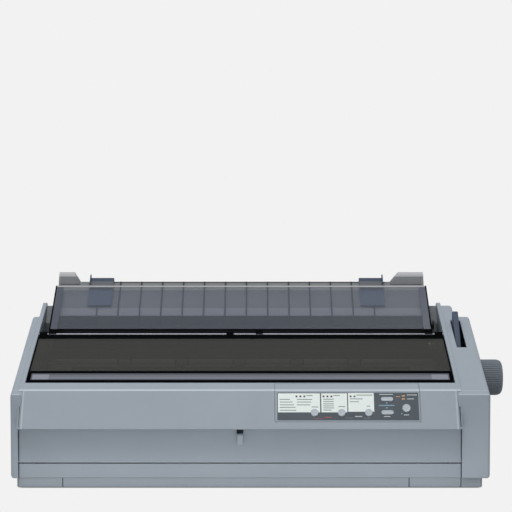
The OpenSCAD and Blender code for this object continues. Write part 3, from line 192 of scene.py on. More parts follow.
def boxed(low, high, radius=0.8, steps=3):
    """A solid box between two corners."""
    outline = [(low[1], low[2]), (high[1], low[2]), (high[1], high[2]), (low[1], high[2])]
    return drawn(outline, low[0], high[0], radius, steps)


def prism(outline, low, high, matrix, radius=0.0):
    """An outline in a plane of its own, drawn out square to it between two heights."""
    bm = bmesh.new()
    drawn_out(bm, [Vector((x, y, low)) / 1000 for x, y in outline], (0, 0, (high - low) / 1000))
    bmesh.ops.transform(bm, matrix=matrix, verts=bm.verts)
    return rounded(bm, radius)


def spun(line, centre, axis, segments, ring=False):
    """A solid turned from a line of points; a ring's line is closed, another's ends lie on the axis."""
    bm = bmesh.new()
    corners = [bm.verts.new(point) for point in line]
    ends = corners[1:] + corners[:1] if ring else corners[1:]
    edges = [bm.edges.new(pair) for pair in zip(corners, ends)]
    bmesh.ops.spin(bm, geom=corners + edges, cent=centre, axis=axis, angle=math.tau, steps=segments,
                   use_merge=True)
    bmesh.ops.remove_doubles(bm, verts=bm.verts, dist=1e-6)
    bmesh.ops.recalc_face_normals(bm, faces=bm.faces)
    return bm


def upright(profile, x, d, segments=32):
    """A solid turned about an upright axis: profile points are (radius, height)."""
    return spun([at(x + r, d, z) for r, z in profile], at(x, d, 0), (0, 0, 1), segments)


def piece(name, bm):
    """A bmesh as an object of the scene."""
    mesh = bpy.data.meshes.new(name)
    bm.to_mesh(mesh)
    bm.free()
    made = bpy.data.objects.new(name, mesh)
    bpy.context.collection.objects.link(made)
    return made


def fused(name, solids, holes=()):
    """One piece made of solids that run into each other, with the holes cut away."""
    made = solids[0] if isinstance(solids[0], bpy.types.Object) else piece(name, solids[0])
    tools = [(bm, "UNION") for bm in solids[1:]] + [(bm, "DIFFERENCE") for bm in holes]
    helpers = []
    for bm, how in tools:
        helper = piece("helper", bm)
        helpers.append(helper)
        step = made.modifiers.new("step", "BOOLEAN")
        step.operation = how
        step.object = helper
        step.solver = "MANIFOLD"
    if tools:
        shaped = made.evaluated_get(bpy.context.evaluated_depsgraph_get())
        made.data = bpy.data.meshes.new_from_object(shaped)
        made.modifiers.clear()
    for helper in helpers:
        bpy.data.objects.remove(helper)
    return made


def finished(made, material, body, slot, *nodes, sharp=38):
    """Shades the piece, gives it its material, hangs it on the body it rides on and hides the CAD parts it
    stands for.
    """
    bm = bmesh.new()
    bm.from_mesh(made.data)
    bmesh.ops.remove_doubles(bm, verts=bm.verts, dist=2e-6)
    for face in bm.faces:
        face.smooth = True
    for edge in bm.edges:
        edge.smooth = len(edge.link_faces) == 2 and edge.calc_face_angle(0) < math.radians(sharp)
    bm.to_mesh(made.data)
    bm.free()
    made.data.materials.clear()
    made.data.materials.append(material)
    even = made.modifiers.new("even shading", "WEIGHTED_NORMAL")
    even.keep_sharp = True
    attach(made, body)
    if nodes:
        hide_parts(*nodes)


def surface(name, colour, second, blotch, grain, depth, roughness, amount=0.5, **shader):
    """A material of two close tones in soft blotches, with a fine grain; sizes are in millimetres."""
    made = bpy.data.materials.new(name)
    made.use_nodes = True
    tree = made.node_tree
    tree.nodes.clear()
    place = add(tree, "TexCoord").outputs["Object"]
    cloud = add(tree, "TexNoise", {"Vector": place, "Scale": 1000 / blotch, "Detail": 4.0, "Roughness": 0.6})
    fine = add(tree, "TexNoise", {"Vector": place, "Scale": 1000 / grain, "Detail": 2.0, "Roughness": 0.5})
    spots = {"Value": cloud.outputs["Fac"], "From Min": 0.3, "From Max": 0.7}
    soft = add(tree, "MapRange", {**spots, "To Max": amount})
    tone = add(tree, "Mix", {0: soft.outputs[0], 6: linear(colour), 7: linear(second)}, data_type="RGBA")
    gloss = add(tree, "MapRange", {**spots, "To Min": roughness[0], "To Max": roughness[1]})
    bump = add(tree, "Bump", {"Height": fine.outputs["Fac"], "Strength": 1.0, "Distance": depth / 1000})
    skin = add(tree, "BsdfPrincipled", {"Base Color": tone.outputs[2], "Roughness": gloss.outputs[0],
                                        "Normal": bump.outputs[0], **shader})
    add(tree, "OutputMaterial", {"Surface": skin.outputs[0]})
    return made


def painted(made, mask, colour):
    """Lays a flat colour over a material where the mask is one."""
    tree = made.node_tree
    base = tree.nodes["Principled BSDF"].inputs["Base Color"]
    under = base.links[0].from_socket
    both = add(tree, "Mix", {0: mask, 6: under, 7: linear(colour)}, data_type="RGBA")
    tree.links.new(both.outputs[2], base)


def zoned(made, middle, zones, share=0):
    """Lays flat colours over zones of a material; returns the share of the light that stays on it.

    A zone has its limits in mm (S: away from the middle, Y: depth, Z: height), its colour, and on
    see-through plastic a share of its own.
    """
    tree = made.node_tree
    place = add(tree, "SeparateXYZ", {0: add(tree, "TexCoord").outputs["Object"]})
    aside = add(tree, "Math", {0: place.outputs["X"], 1: middle / 1000}, operation="SUBTRACT")
    off = add(tree, "Math", {0: aside.outputs[0]}, operation="ABSOLUTE")
    along = {"S": (off.outputs[0], 0), "Y": (place.outputs["Y"], HALF_DEPTH), "Z": (place.outputs["Z"], 0)}
    for limits, colour, *own_share in zones:
        mask = 1
        for axis, (low, high) in limits.items():
            socket, origin = along[axis]
            centre = (low + high) / 2000 - origin / 1000
            inside = add(tree, "Math", {0: socket, 1: centre, 2: (high - low) / 2000}, operation="COMPARE")
            mask = add(tree, "Math", {0: mask, 1: inside.outputs[0]}, operation="MULTIPLY").outputs[0]
        painted(made, mask, colour)
        for own in own_share:
            share = add(tree, "Mix", {0: mask, 2: share, 3: own}, data_type="FLOAT").outputs[0]
    return share


# how far grained plastic shines
MATT = {"Specular IOR Level": 0.25}


def dulled(made):
    """What is nearly black on a piece is shade or matt print, so it shines less than the plastic."""
    tree = made.node_tree
    skin = tree.nodes["Principled BSDF"]
    bright = add(tree, "RGBToBW", {0: skin.inputs["Base Color"].links[0].from_socket})
    shine = add(tree, "MapRange", {"Value": bright.outputs[0], "From Min": 0.01, "From Max": 0.05,
                                   "To Max": MATT["Specular IOR Level"]})
    tree.links.new(shine.outputs[0], skin.inputs["Specular IOR Level"])


# ABS, injection moulded in spark-eroded tools: a matt, pebbled grey, with painted shade inside the tray's
# seams
base_abs = surface("base_abs", "#A6AEB6", "#9EA7AF", blotch=90, grain=1.4, depth=0.03,
                   roughness=(0.5, 0.62), **MATT)
zoned(base_abs, sum(BASE) / 2, [({"S": (0, 291), "Y": (23.2, 24.9), "Z": (0, 13.4)}, "#2E3236")])
dulled(base_abs)
# natural rubber: near black, dull, slightly dusty
rubber = surface("rubber", "#1B1B1C", "#262627", blotch=12, grain=0.5, depth=0.03, roughness=(0.75, 0.9))

TRAY_WALL = 2.5
TRAY_Z = 4
POSTS = [(x, d) for x in (-291.75, 239.75) for d in (70, 300)]
PILLARS = [(x, d) for x in (36, 226, -280, -134) for d in (274, 382)]
FEET = [(x, d) for x in FEET_X for d in FEET_D]
SEAMS_X = (BASE[0] + 58, BASE[1] - 94, RIM[1] - 1)
tray = prism([(BASE[0], BASE_D[0] + 3), (BASE[0] + 3, BASE_D[0]), (BASE[1] - 3, BASE_D[0]),
              (BASE[1], BASE_D[0] + 3), (BASE[1], BASE_D[1]), (BASE[0], BASE_D[1])],
             1, SKIRT_Z - 0.3, Matrix.Translation(at(0, 0, 0)), 0.8)
hollow = boxed((BASE[0] + TRAY_WALL, BASE_D[0] + TRAY_WALL, TRAY_Z),
               (BASE[1] - TRAY_WALL, BASE_D[1] - TRAY_WALL, 20), 0)
sill = drawn([(SILL_D[0], SKIRT_Z), (SILL_D[0], SILL_Z), (SILL_D[1], SILL_Z), (SILL_D[1], SKIRT_Z + 3),
              (SILL_D[2], SKIRT_Z + 3), (SILL_D[2], TRAY_Z), (BASE_D[0], TRAY_Z), (BASE_D[0], SKIRT_Z)],
             RIM[0] + 0.6, RIM[1] - 0.6, 0.6)
posts = [boxed((x - 8, d - 10, TRAY_Z - 1), (x + 8, d + 10, TRAY_Z + 6), 0.6) for x, d in POSTS]
pillars = [upright([(0, TRAY_Z - 1), (4, TRAY_Z - 1), (4, TRAY_Z + 7.2), (3.2, TRAY_Z + 8), (0, TRAY_Z + 8)],
                   x, d, 24) for x, d in PILLARS]
grooves = [boxed((x, BASE_D[0] - 1, 0), (x + 1.1, BASE_D[0] + 2.2, SKIRT_Z), 0) for x in SEAMS_X]
pockets = [upright([(0, 0), (10.05, 0), (10.05, 3), (0, 3)], x, d) for x, d in FEET]
lower = fused("lower_case_moulding", [tray], [hollow])
lower = fused("lower_case_moulding", [lower, sill] + posts + pillars, grooves + pockets)
finished(lower, base_abs, "root", "case_plastic", "lower_case")
foot = [(0, 0.5), (5, 0.5), (5.6, 0), (9, 0), (10, 0.9), (10, 2.9), (0, 2.9)]
feet = fused("foot_pads", [upright(foot, x, d) for x, d in FEET])
finished(feet, rubber, "root", "platen_rubber", "rubber_feet")

# ---- Boards ----
# The main board and the power supply stand on the tray's pillars at the back: glass-fibre boards
# under a green solder mask, with black packages on the one and tinned cans and coils on the other.
BOARD_TOP = 13.7


def dressed(material, *names):
    """CAD solids whose shape is right keep it and take this material."""
    for name in names:
        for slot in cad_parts[name].material_slots:
            slot.material = material


def solder_mask(name):
    """Green varnish, screened on glass fibre: even and fairly glossy."""
    return surface(name, "#1D5C36", "#174A2C", blotch=6, grain=0.4, depth=0.02, roughness=(0.25, 0.4))


def populated(name, parts):
    """Solder mask up to the board's face, and the tone of the parts above it."""
    made = solder_mask(name)
    tree = made.node_tree
    place = add(tree, "SeparateXYZ", {0: add(tree, "TexCoord").outputs["Object"]})
    above = add(tree, "Math", {0: place.outputs["Z"], 1: BOARD_TOP / 1000}, operation="GREATER_THAN")
    painted(made, above.outputs[0], parts)
    return made


dressed(populated("solder_mask_and_epoxy", "#2A2B2E"), "main_board")
dressed(populated("solder_mask_and_tin", "#6E7073"), "power_supply")

# ---- Frame plates, chute and shafts ----
# Two steel plates, plated with black zinc, stand on the tray's posts and carry every shaft. The
# shafts are ground steel bars with chamfered ends, held by clips in grooves outside the plates.
# Zinc: a cool, faintly spangled sheen, or nearly black. Ground steel: bright, with a fine grain.
zinc = surface("zinc_plated_steel", "#A9ADB0", "#8F9498", blotch=9, grain=0.5, depth=0.006,
               roughness=(0.3, 0.48), amount=0.8, Metallic=1.0)
black_zinc = surface("black_zinc_plating", "#3A3C3E", "#303234", blotch=9, grain=0.5, depth=0.006,
                     roughness=(0.4, 0.55), Metallic=0.7)
ground = surface("ground_steel", "#B9BABC", "#A2A4A7", blotch=3, grain=0.3, depth=0.004,
                 roughness=(0.18, 0.3), Metallic=1.0)
dressed(black_zinc, "left_frame", "right_frame")
dressed(zinc, "paper_chute", "front_rail")
PLATEN = (130, 127)
BAR = (-293, 241)
BAR_CLIPS = (-289.6, 237.8)


def turned(profile, d, z, segments=48, ring=False):
    """A solid turned about an axis along the width: profile points are (x, radius)."""
    return spun([at(x, d, z + r) for x, r in profile], at(0, d, z), (1, 0, 0), segments, ring)


def shaft(name, node, body, x0, x1, radius, d, z, clips=(), metal=ground):
    """A chamfered bar with clip grooves at the given widths."""
    line = [(x0, 0), (x0, radius - 0.5), (x0 + 0.5, radius)]
    for x in clips:
        line += [(x - 0.4, radius), (x - 0.4, radius - 0.6), (x + 0.4, radius - 0.6), (x + 0.4, radius)]
    line += [(x1 - 0.5, radius), (x1, radius - 0.5), (x1, 0)]
    finished(piece(name, turned(line, d, z)), metal, body, "steel", node)


shaft("carriage_guide_bar", "carriage_shaft", "root", *BAR, 6, 84, 96, BAR_CLIPS)
shaft("tractor_guide_bar", "tractor_support_shaft", "root", *BAR, 4, 288, 130, BAR_CLIPS)
shaft("platen_spindle", "platen_shaft", "platen", -303.2, 311.5, 5, *PLATEN, (-295.2, 243.4))

# ---- Platen, feed gears and knob ----
# The rubber-covered platen turns in the plates. A gear train on its left end joins it to the feed
# motor and the tractors: acetal wheels on steel studs, and a brass pinion. The ribbed ABS knob
# is pushed on the right end of the spindle.
# Nitrile rubber: ground, so black and even. Acetal: waxy, off-white. Brass: yellow and turned.
platen_rubber = surface("nitrile_rubber", "#17181A", "#202124", blotch=8, grain=0.6, depth=0.015,
                        roughness=(0.55, 0.7))
acetal = surface("acetal", "#DAD8D0", "#CFCDC4", blotch=5, grain=0.6, depth=0.008, roughness=(0.32, 0.45))
brass = surface("brass", "#C79A4B", "#B4873B", blotch=3, grain=0.3, depth=0.005, roughness=(0.25, 0.4),
                Metallic=1.0)
# blackened steel cans with a dim sheen, and the knob's ABS, darker and coarser than the case's
motor_can = surface("blackened_steel", "#4A4C50", "#3E4044", blotch=7, grain=0.4, depth=0.008,
                    roughness=(0.4, 0.55), Metallic=0.8)
knob_abs = surface("knob_abs", "#747B82", "#6B7279", blotch=14, grain=0.9, depth=0.03,
                   roughness=(0.5, 0.62))
ROLLER = (-254.25, 197.75)
ROLLER_R = 14
SPINDLE_BORE = 5.05
sleeve = turned([(ROLLER[0], SPINDLE_BORE), (ROLLER[0], ROLLER_R - 0.9), (ROLLER[0] + 0.9, ROLLER_R),
                 (ROLLER[1] - 0.9, ROLLER_R), (ROLLER[1], ROLLER_R - 0.9), (ROLLER[1], SPINDLE_BORE)],
                *PLATEN, 96, ring=True)
finished(piece("platen_sleeve", sleeve), platen_rubber, "platen", "platen_rubber", "platen_roller")
dressed(acetal, "platen_gear", "first_idler_gear", "second_idler_gear")
dressed(brass, "motor_pinion")
dressed(motor_can, "feed_motor")

KNOB_R = 23.75
RIBS = 48
# the knob's rings from its back to its dished face: width, radius and depth of the valleys
KNOB_RINGS = [(290.6, 22.4, 0), (290.6, 23.1, 0.3), (291.3, KNOB_R, 0.9), (301, KNOB_R, 0.9),
              (311.5, KNOB_R, 0.9), (314.3, 23.4, 0.7), (316.6, 22.5, 0.3), (318.3, 21, 0),
              (319.2, 19.2, 0), (319.5, 17.5, 0), (319.5, 15.4, 0), (318.7, 14.6, 0)]


def knob_loop(bm, x, radius, rib):
    """One ring of the knob: broad low ribs, with a narrow valley between each two."""
    made = bmesh.ops.create_circle(bm, cap_ends=False, radius=radius / 1000, segments=RIBS * 4)["verts"]
    for i, v in enumerate(made):
        v.co = Vector((0, v.co.x, v.co.y)) * ((radius - rib * (i % 4 == 0)) / radius) + at(x, *PLATEN)
    return list({e for v in made for e in v.link_edges})


def bore(x0, x1, radius, d, z, segments=32):
    """What a drill along the width takes away."""
    return turned([(x0, 0), (x0, radius), (x1, radius), (x1, 0)], d, z, segments)


bm = bmesh.new()
loops = [knob_loop(bm, *ring) for ring in KNOB_RINGS]
for near, beyond in zip(loops, loops[1:]):
    bmesh.ops.bridge_loops(bm, edges=near + beyond)
bmesh.ops.edgeloop_fill(bm, edges=loops[-1])
bmesh.ops.edgeloop_fill(bm, edges=loops[0])
bmesh.ops.recalc_face_normals(bm, faces=bm.faces)
knob = fused("ribbed_knob", [bm], [bore(289, 311.6, SPINDLE_BORE, *PLATEN, 48)])
finished(knob, knob_abs, "platen", "knob_plastic", "platen_knob", sharp=30)

# ---- Tractors ----
# Two sprocket tractors ride on a square drive shaft and a round guide bar behind the platen.
# Nylon bodies hold a pin wheel each, under a flap that presses the paper down.
# Glass-filled nylon: dark and slightly mottled. Slate ABS: a dull blue-grey, finely grained.
nylon = surface("glass_filled_nylon", "#34373C", "#2B2E33", blotch=6, grain=0.7, depth=0.02,
                roughness=(0.45, 0.6))
slate_abs = surface("slate_abs", "#3B495F", "#344157", blotch=10, grain=0.9, depth=0.02,
                    roughness=(0.38, 0.5))
dressed(ground, "tractor_drive_shaft")
dressed(nylon, "left_tractor", "right_tractor", "left_tractor_cover", "right_tractor_cover")
dressed(acetal, "left_sprocket", "right_sprocket")
dressed(slate_abs, "left_lock_lever", "right_lock_lever", "thickness_lever")

# ---- Carriage and its drive ----
# The carriage slides on the guide bar and a folded rail, pulled by a toothed belt between two
# pulleys. It carries the finned die-cast print head and the thin steel ribbon mask.
# Die-cast alloy: dull and faintly flowed. Spring steel: rolled bright. Neoprene: flat black.
head_alloy = surface("die_cast_alloy", "#6A6C70", "#5D5F63", blotch=5, grain=0.5, depth=0.015,
                     roughness=(0.4, 0.55), Metallic=0.7)
spring_steel = surface("spring_steel", "#C4C5C3", "#B3B4B3", blotch=6, grain=0.3, depth=0.004,
                       roughness=(0.2, 0.34), Metallic=1.0)
belt_rubber = surface("neoprene", "#151517", "#1D1D20", blotch=4, grain=0.4, depth=0.015,
                      roughness=(0.6, 0.75))
dressed(nylon, "carriage")
dressed(head_alloy, "print_head")
dressed(spring_steel, "ribbon_mask")
dressed(motor_can, "carriage_motor")
dressed(brass, "drive_pulley")
dressed(acetal, "idler_pulley")
dressed(belt_rubber, "timing_belt")

# ---- Tension unit ----
# A light nylon frame over the platen, hinged in the plates. Five off-white acetal rollers on one
# thin rod press the paper on the platen.
BAIL = (139.296, 144.482)
ROLLER_X = [-184.25 + 77 * i for i in range(5)]
dressed(nylon, "tension_unit")


def rod(x0, x1, radius, d, z, chamfer=0.4, segments=48):
    """A round rod along the width, with chamfered ends."""
    return turned([(x0, 0), (x0, radius - chamfer), (x0 + chamfer, radius), (x1 - chamfer, radius),
                   (x1, radius - chamfer), (x1, 0)], d, z, segments)


rollers = [rod(x - 6.7, x + 6.7, 5.5, *BAIL, 0.6, 40) for x in ROLLER_X]
rollers = fused("paper_rollers", [rod(-289.7, 237.7, 1.5, *BAIL, 0.3)] + rollers)
finished(rollers, acetal, "tension_rollers", "gear_plastic", "tension_rollers")

# ---- Ribbon cartridge ----
# A long black polystyrene cassette that lies in front of the platen. It hangs on two pegs in the
# frame plates; its arms lead the ribbon past the platen's ends, and a knob takes up the slack.
DECK_SLOPE = 20.2
RIDGE = (26, 125)
PEGS = (-290.2, 238.2)


def deck(d):
    """Height of the printer's sloping top at a depth."""
    return RIDGE[1] + (d - RIDGE[0]) * math.tan(math.radians(DECK_SLOPE))


CASSETTE = (-263.25, 206.75)
# high-impact polystyrene: black, smooth, with a soft gloss
cassette_ps = surface("high_impact_polystyrene", "#1C1D20", "#232428", blotch=12, grain=0.8, depth=0.02,
                      roughness=(0.35, 0.5))
cassette = [drawn([(47, 108), (47, deck(47) - 11.8), (81, deck(81) - 11.8), (81, 114)], *CASSETTE, 1.2),
            drawn([(50, deck(50) - 13), (50, deck(50) - 11), (78, deck(78) - 11), (78, deck(78) - 13)],
                  CASSETTE[0] + 4, CASSETTE[1] - 4, 0.4)]
for x in (CASSETTE[0], CASSETTE[1] - 16):
    cassette.append(drawn([(79, 121), (79, 135), (112.2, 133), (112.2, 121)], x, x + 16, 1))
cassette += [rod(PEGS[0], CASSETTE[0] + 2, 3, 64, 120), rod(CASSETTE[1] - 2, PEGS[1], 3, 64, 120)]
finished(fused("ribbon_cassette", cassette), cassette_ps, "root", "dark_plastic", "ribbon_cartridge")
TAKE_UP = (-223.25, 64)
tilt = Matrix.Translation(at(*TAKE_UP, deck(TAKE_UP[1]) - 10.8))
tilt = tilt @ Matrix.Rotation(math.radians(DECK_SLOPE), 4, "X")
disc = upright([(0, 0), (7.4, 0), (8, 0.6), (8, 2.6), (7.4, 3.2), (0, 3.2)], 0, HALF_DEPTH, 40)
grip = boxed((-6, HALF_DEPTH - 1, 3), (6, HALF_DEPTH + 1, 5), 0.4)
for solid in (disc, grip):
    bmesh.ops.transform(solid, matrix=tilt, verts=solid.verts)
finished(fused("take_up_knob", [disc, grip]), knob_abs, "ribbon_knob", "knob_plastic", "ribbon_knob")

# ---- Upper case ----
# One large ABS moulding: the front wedge, the raised walls beside the cover, the stepped
# shoulders, and the rear deck with its cooling slots. It drops over the frame and is screwed on
# from the rear.
WALL = 2.5
BAY = (-304, 247.5)
FLAP = (-291.55, 233.45)
HINGE = (180, 178.461)
PIVOT = (23.25, 34.45)
FRONT_PIN = 1.7
HINGE_BORE = 2.3
WEDGE_FOOT = 79.8
WEDGE_X = (-310.5, RIM[1])
WEDGE_ANGLE = math.atan2(RIDGE[1] - WEDGE_FOOT, RIDGE[0])
WEDGE = Matrix.Translation(at(0, 0, WEDGE_FOOT)) @ Matrix.Rotation(WEDGE_ANGLE, 4, "X")
SHOULDER_D = (17.5, 229)
SHOULDER_FOOT = (263, 160)
REAR = (402, 126)
STUB = (209, 101)
VENTS = [-184.25 + 18 * i for i in range(18)]
REAR_OPENINGS = {"inlet": (-262, -232, 30, 52), "printer port": (150, 206, 34, 50),
                 "serial port": (84, 118, 34, 48), "usb port": (222, 236, 34, 48),
                 "slot cover": (-20, 62, 28, 60)}
SCREWS = [(-250, 72), (-120, 72), (100, 72), (230, 72)]


# the same ABS in a finer texture: a matt, faintly pebbled grey that hardly shines, with painted
# highlights on its sharpest edges: the wedge's ridge, the shoulders' front edges and the wedge's ends
EDGE_HIGHLIGHT_PAINT = "#C6CFD6"
case_abs = surface("case_abs", "#A3ACB4", "#9BA4AD", blotch=90, grain=1.4, depth=0.02,
                   roughness=(0.28, 0.38), **MATT)
zoned(case_abs, sum(WEDGE_X) / 2, [({"Y": (25, 28.2), "Z": (124.1, 126.6)}, EDGE_HIGHLIGHT_PAINT),
                                   ({"Y": (17, 18.8), "Z": (120.4, 122.4)}, EDGE_HIGHLIGHT_PAINT),
                                   ({"S": (273.9, 276.2), "Y": (-1, 26), "Z": (79, 125)}, "#BAC3CA")])


def trimmed(bm, point, normal):
    """Cuts away what lies beyond a plane, and closes the cut."""
    cut = bmesh.ops.bisect_plane(bm, geom=bm.verts[:] + bm.edges[:] + bm.faces[:], plane_co=point,
                                 plane_no=normal, clear_outer=True)["geom_cut"]
    bmesh.ops.edgeloop_fill(bm, edges=[e for e in cut if isinstance(e, bmesh.types.BMEdge)])


def shoulder(d):
    """Height of the shoulders' sloping tops."""
    return deck(d) - 1.5


def panel_outline(grow):
    """The control panel's housing in section; the opening for it is a little larger."""
    up = Vector((math.cos(WEDGE_ANGLE), math.sin(WEDGE_ANGLE)))
    inward = Vector((up.y, -up.x))
    low = Vector((0, WEDGE_FOOT)) + up * (9.5 - grow)
    over, thick, end = (4, 3 + grow, 42.6 + grow) if grow else (0, 3, 42.6)
    bend = RIDGE[0] + thick * 0.8
    return [tuple(low - inward * over), (RIDGE[0] - over, RIDGE[1] + over), (end, deck(end) + over),
            (end, deck(end) - thick), (bend, deck(bend) - thick * 1.05), tuple(low + inward * thick)]


def hollow_outline(front):
    """The inside of a shoulder, from this depth backwards."""
    outline = [(SHOULDER_D[0] + WALL, 5), (SHOULDER_D[0] + WALL, shoulder(SHOULDER_D[0]) - WALL),
               (SHOULDER_D[1] - WALL / 2, shoulder(SHOULDER_D[1]) - WALL),
               (SHOULDER_FOOT[0] - WALL, SHOULDER_FOOT[1] - WALL), (REAR[0] - WALL, REAR[1] - WALL),
               (REAR[0] - WALL, 5)]
    return [(max(d, front), z) for d, z in outline]


def shoulder_block(x0, x1):
    """A shoulder: its upright and sloping edges are well rounded, those along the width less so."""
    outline = [(SHOULDER_D[0], SKIRT_Z), (SHOULDER_D[0], shoulder(SHOULDER_D[0])),
               (SHOULDER_D[1], shoulder(SHOULDER_D[1])), SHOULDER_FOOT, REAR, (REAR[0], SKIRT_Z)]
    bm = drawn(outline, x0, x1, 0)
    edges = [e for e in bm.edges if abs(e.verts[0].co.x - e.verts[1].co.x) < 1e-6]
    bmesh.ops.bevel(bm, geom=edges, offset=0.004, offset_type="OFFSET", segments=6, profile=0.5,
                    affect="EDGES", material=-1)
    return rounded(bm, 1)


wall_outline = [RIDGE, (265, deck(265)), (269, deck(268)), (272, deck(265)), (287, 158), (287, 86),
                (26, 85)]
cheek_outline = [(220, shoulder(219)), (261, deck(269) - 4), (269, deck(269) - 4.5), (287, 158),
                 (287, 106), (220, 106)]
wedge = drawn([(0, WEDGE_FOOT), RIDGE, (45, deck(45)), (45, 77.8), (21.5, 77.8), (1, 78.8)], *WEDGE_X, 0)
for x, side in zip(WEDGE_X, (-1, 1)):
    corner = WEDGE @ (Vector((x - side * 6.5, 0, 0)) / 1000)
    trimmed(wedge, corner, (WEDGE.to_3x3() @ Vector((side, 0, 1))).normalized())
rear_shell = drawn([(326, 135), (328.5, 135), (328.5, 131), REAR, (REAR[0], SKIRT_Z), (399.5, SKIRT_Z),
                    (399.5, 123.5), (328.5, 128.5), (328.5, 64), (326, 64)], BAY[0] - 1, BAY[1] + 1, 0.5, 2)
case = fused("upper_case_moulding", [
    shoulder_block(CASE[0], BAY[0]), shoulder_block(BAY[1], CASE[1]),
    drawn(wall_outline, RIM[0], BAY[0], 1.0), drawn(wall_outline, BAY[1], RIM[1], 1.0),
    drawn(cheek_outline, BAY[1], 269.5, 5, 5), rounded(wedge, 1.5, 4), rear_shell])
# hollows in the shoulders and the wedge, then the bay's front, the panel's opening, the lever's
# slot, the front cover's recess, the switch's opening, and the bores for spindle, hinge and pins
holes = [drawn(hollow_outline(0), CASE[0] + WALL, -313.1, 0),
         drawn(hollow_outline(0), 256.6, CASE[1] - WALL, 0),
         drawn(hollow_outline(36), -314, BAY[0] - WALL, 0),
         drawn(hollow_outline(36), BAY[1] + WALL, 258, 0),
         drawn([(4, 80.8), (27.5, 122.5), (42.5, 129.4), (42.5, 78.3), (24, 78.3), (6, 81.3)],
               RIM[0] + WALL, RIM[1] - WALL, 0),
         drawn([(42.3, 119), (54.6, 119), (54.6, 60), (29.5, 60), (29.5, 81.8)], *BAY, 0),
         drawn(panel_outline(0.3), 15.7, 200.3, 0),
         boxed((261.5, 141, 145.8), (275, 219, 260), 0),
         boxed((-310.1, 10, 5), (253.6, 33.5, 76.8), 0),
         boxed((-321, 316.7, 53.7), (-316, 343.3, 70.3), 0),
         bore(246.5, 292, 6.2, *PLATEN, 40),
         bore(-306.4, -303, HINGE_BORE, *HINGE), bore(246.5, 249.9, HINGE_BORE, *HINGE),
         bore(-313.6, -309, FRONT_PIN, *PIVOT, 24), bore(253, 257.1, FRONT_PIN, *PIVOT, 24)]
holes += [boxed((x0 - 0.3, 398, z0 - 0.3), (x1 + 0.3, 403, z1 + 0.3), 0)
          for x0, x1, z0, z1 in REAR_OPENINGS.values()]
holes += [boxed((x, 342, 118), (x + 6, 386, 138), 0) for x in VENTS]
holes += [spun([at(x, 400.9, z), at(x + 4.6, 400.9, z), at(x + 4.6, 403, z), at(x, 403, z)],
               at(x, 0, z), (0, 1, 0), 32) for x, z in SCREWS]
case = fused("upper_case_moulding", [case], holes)
case = fused("upper_case_moulding", [case, rod(248.5, 273.6, 4, *STUB)])
finished(case, case_abs, "root", "case_plastic", "upper_case")

# ABS brackets close the corners behind the hinge; their grey is darker than the case's as painted shade
bracket_abs_painted_shade = surface("bracket_abs_painted_shade", "#6C7175", "#64696D", blotch=14, grain=0.9, depth=0.02,
                      roughness=(0.45, 0.6))
bracket = [(238, 160), (238, 189), (261, 210.5), (266, 209.5), (266, 160)]
brackets = fused("corner_brackets", [drawn(bracket, BAY[0] - 0.5, FLAP[0] + 0.9, 2.5, 4),
                                     drawn(bracket, FLAP[1] - 0.9, BAY[1] + 0.5, 2.5, 4)])
finished(brackets, bracket_abs_painted_shade, "root", "case_plastic")

# cross-headed screws: domed heads of plated steel, each in its counterbore
HEAD = [(0, 399.2), (3.6, 399.2), (3.6, 400.9), (3.4, 401.3), (2.6, 401.7), (1.6, 401.8), (0, 401.8)]
heads = [spun([at(x + r, d, z) for r, d in HEAD], at(x, 0, z), (0, 1, 0), 32) for x, z in SCREWS]
slots = [boxed((x - a, 400.9, z - b), (x + a, 402.5, z + b), 0)
         for x, z in SCREWS for a, b in ((1.9, 0.35), (0.35, 1.9))]
finished(fused("case_screws", heads, slots), zinc, "root", "steel")

# ---- Control panel ----
# A separate ABS housing clipped into the wedge, with a printed polycarbonate label stuck in its
# recess. Six ABS buttons stand through both and press switches on a small board behind.
# Places are widths and steps up the wedge's face; a key has its width, step, length and height.
PANEL = (16, 200)
KEYS = {"key_left": (66.1, 21.8, 9.8, 9.8), "key_middle": (100.3, 21.8, 9.8, 9.8),
        "key_right": (134.5, 21.8, 9.8, 9.8), "pause_button": (182.3, 27.8, 10.6, 10.6),
        "feed_button_up": (158.2, 39.9, 15.6, 5.6), "feed_button_down": (158.2, 22, 15.6, 5.6)}
KEY_GAP = 0.3
KEY_SIDES = 40
LAMP_ROWS = ((43.4, 3), (77.7, 3), (112, 2))
LAMPS = [(first + 5 * i, 43.74) for first, count in LAMP_ROWS for i in range(count)]
WARNINGS = [(179, 44.54), (179, 40.34)]
WARNINGS_FROM = 175
# a key's skin from its flange inside the housing to its dished top: growth and height
KEY_RINGS = [(1.2, -4.5), (1.2, -3.5), (0, -3.5), (0, 0.8), (-0.15, 1.2), (-0.5, 1.45), (-0.9, 1.5),
             (-1.6, 1.34), (-2.4, 1.24)]


def stadium(x, s, length, height, grow):
    """A round-ended outline on the panel's face; with equal sides it is a circle."""
    run = (length - height) / 2
    r = height / 2 + grow
    turns = [(i + 0.5) * math.tau / KEY_SIDES for i in range(KEY_SIDES)]
    return [(x + math.copysign(run, math.cos(a)) + r * math.cos(a), s + r * math.sin(a)) for a in turns]


def field(x0, x1, s0, s1):
    """The outline of an oblong on the panel's face."""
    return [(x0, s0), (x1, s0), (x1, s1), (x0, s1)]


def stacked(rings, matrix):
    """A solid whose skin runs through rings of the same number of places."""
    bm = bmesh.new()
    loops = [[bm.verts.new(Vector(place) / 1000) for place in ring] for ring in rings]
    for near, beyond in zip(loops, loops[1:]):
        for i in range(len(near)):
            bm.faces.new((near[i - 1], near[i], beyond[i], beyond[i - 1]))
    for loop in (loops[0], loops[-1]):
        bm.faces.new(loop)
    bmesh.ops.transform(bm, matrix=matrix, verts=bm.verts)
    bmesh.ops.recalc_face_normals(bm, faces=bm.faces)
    return bm


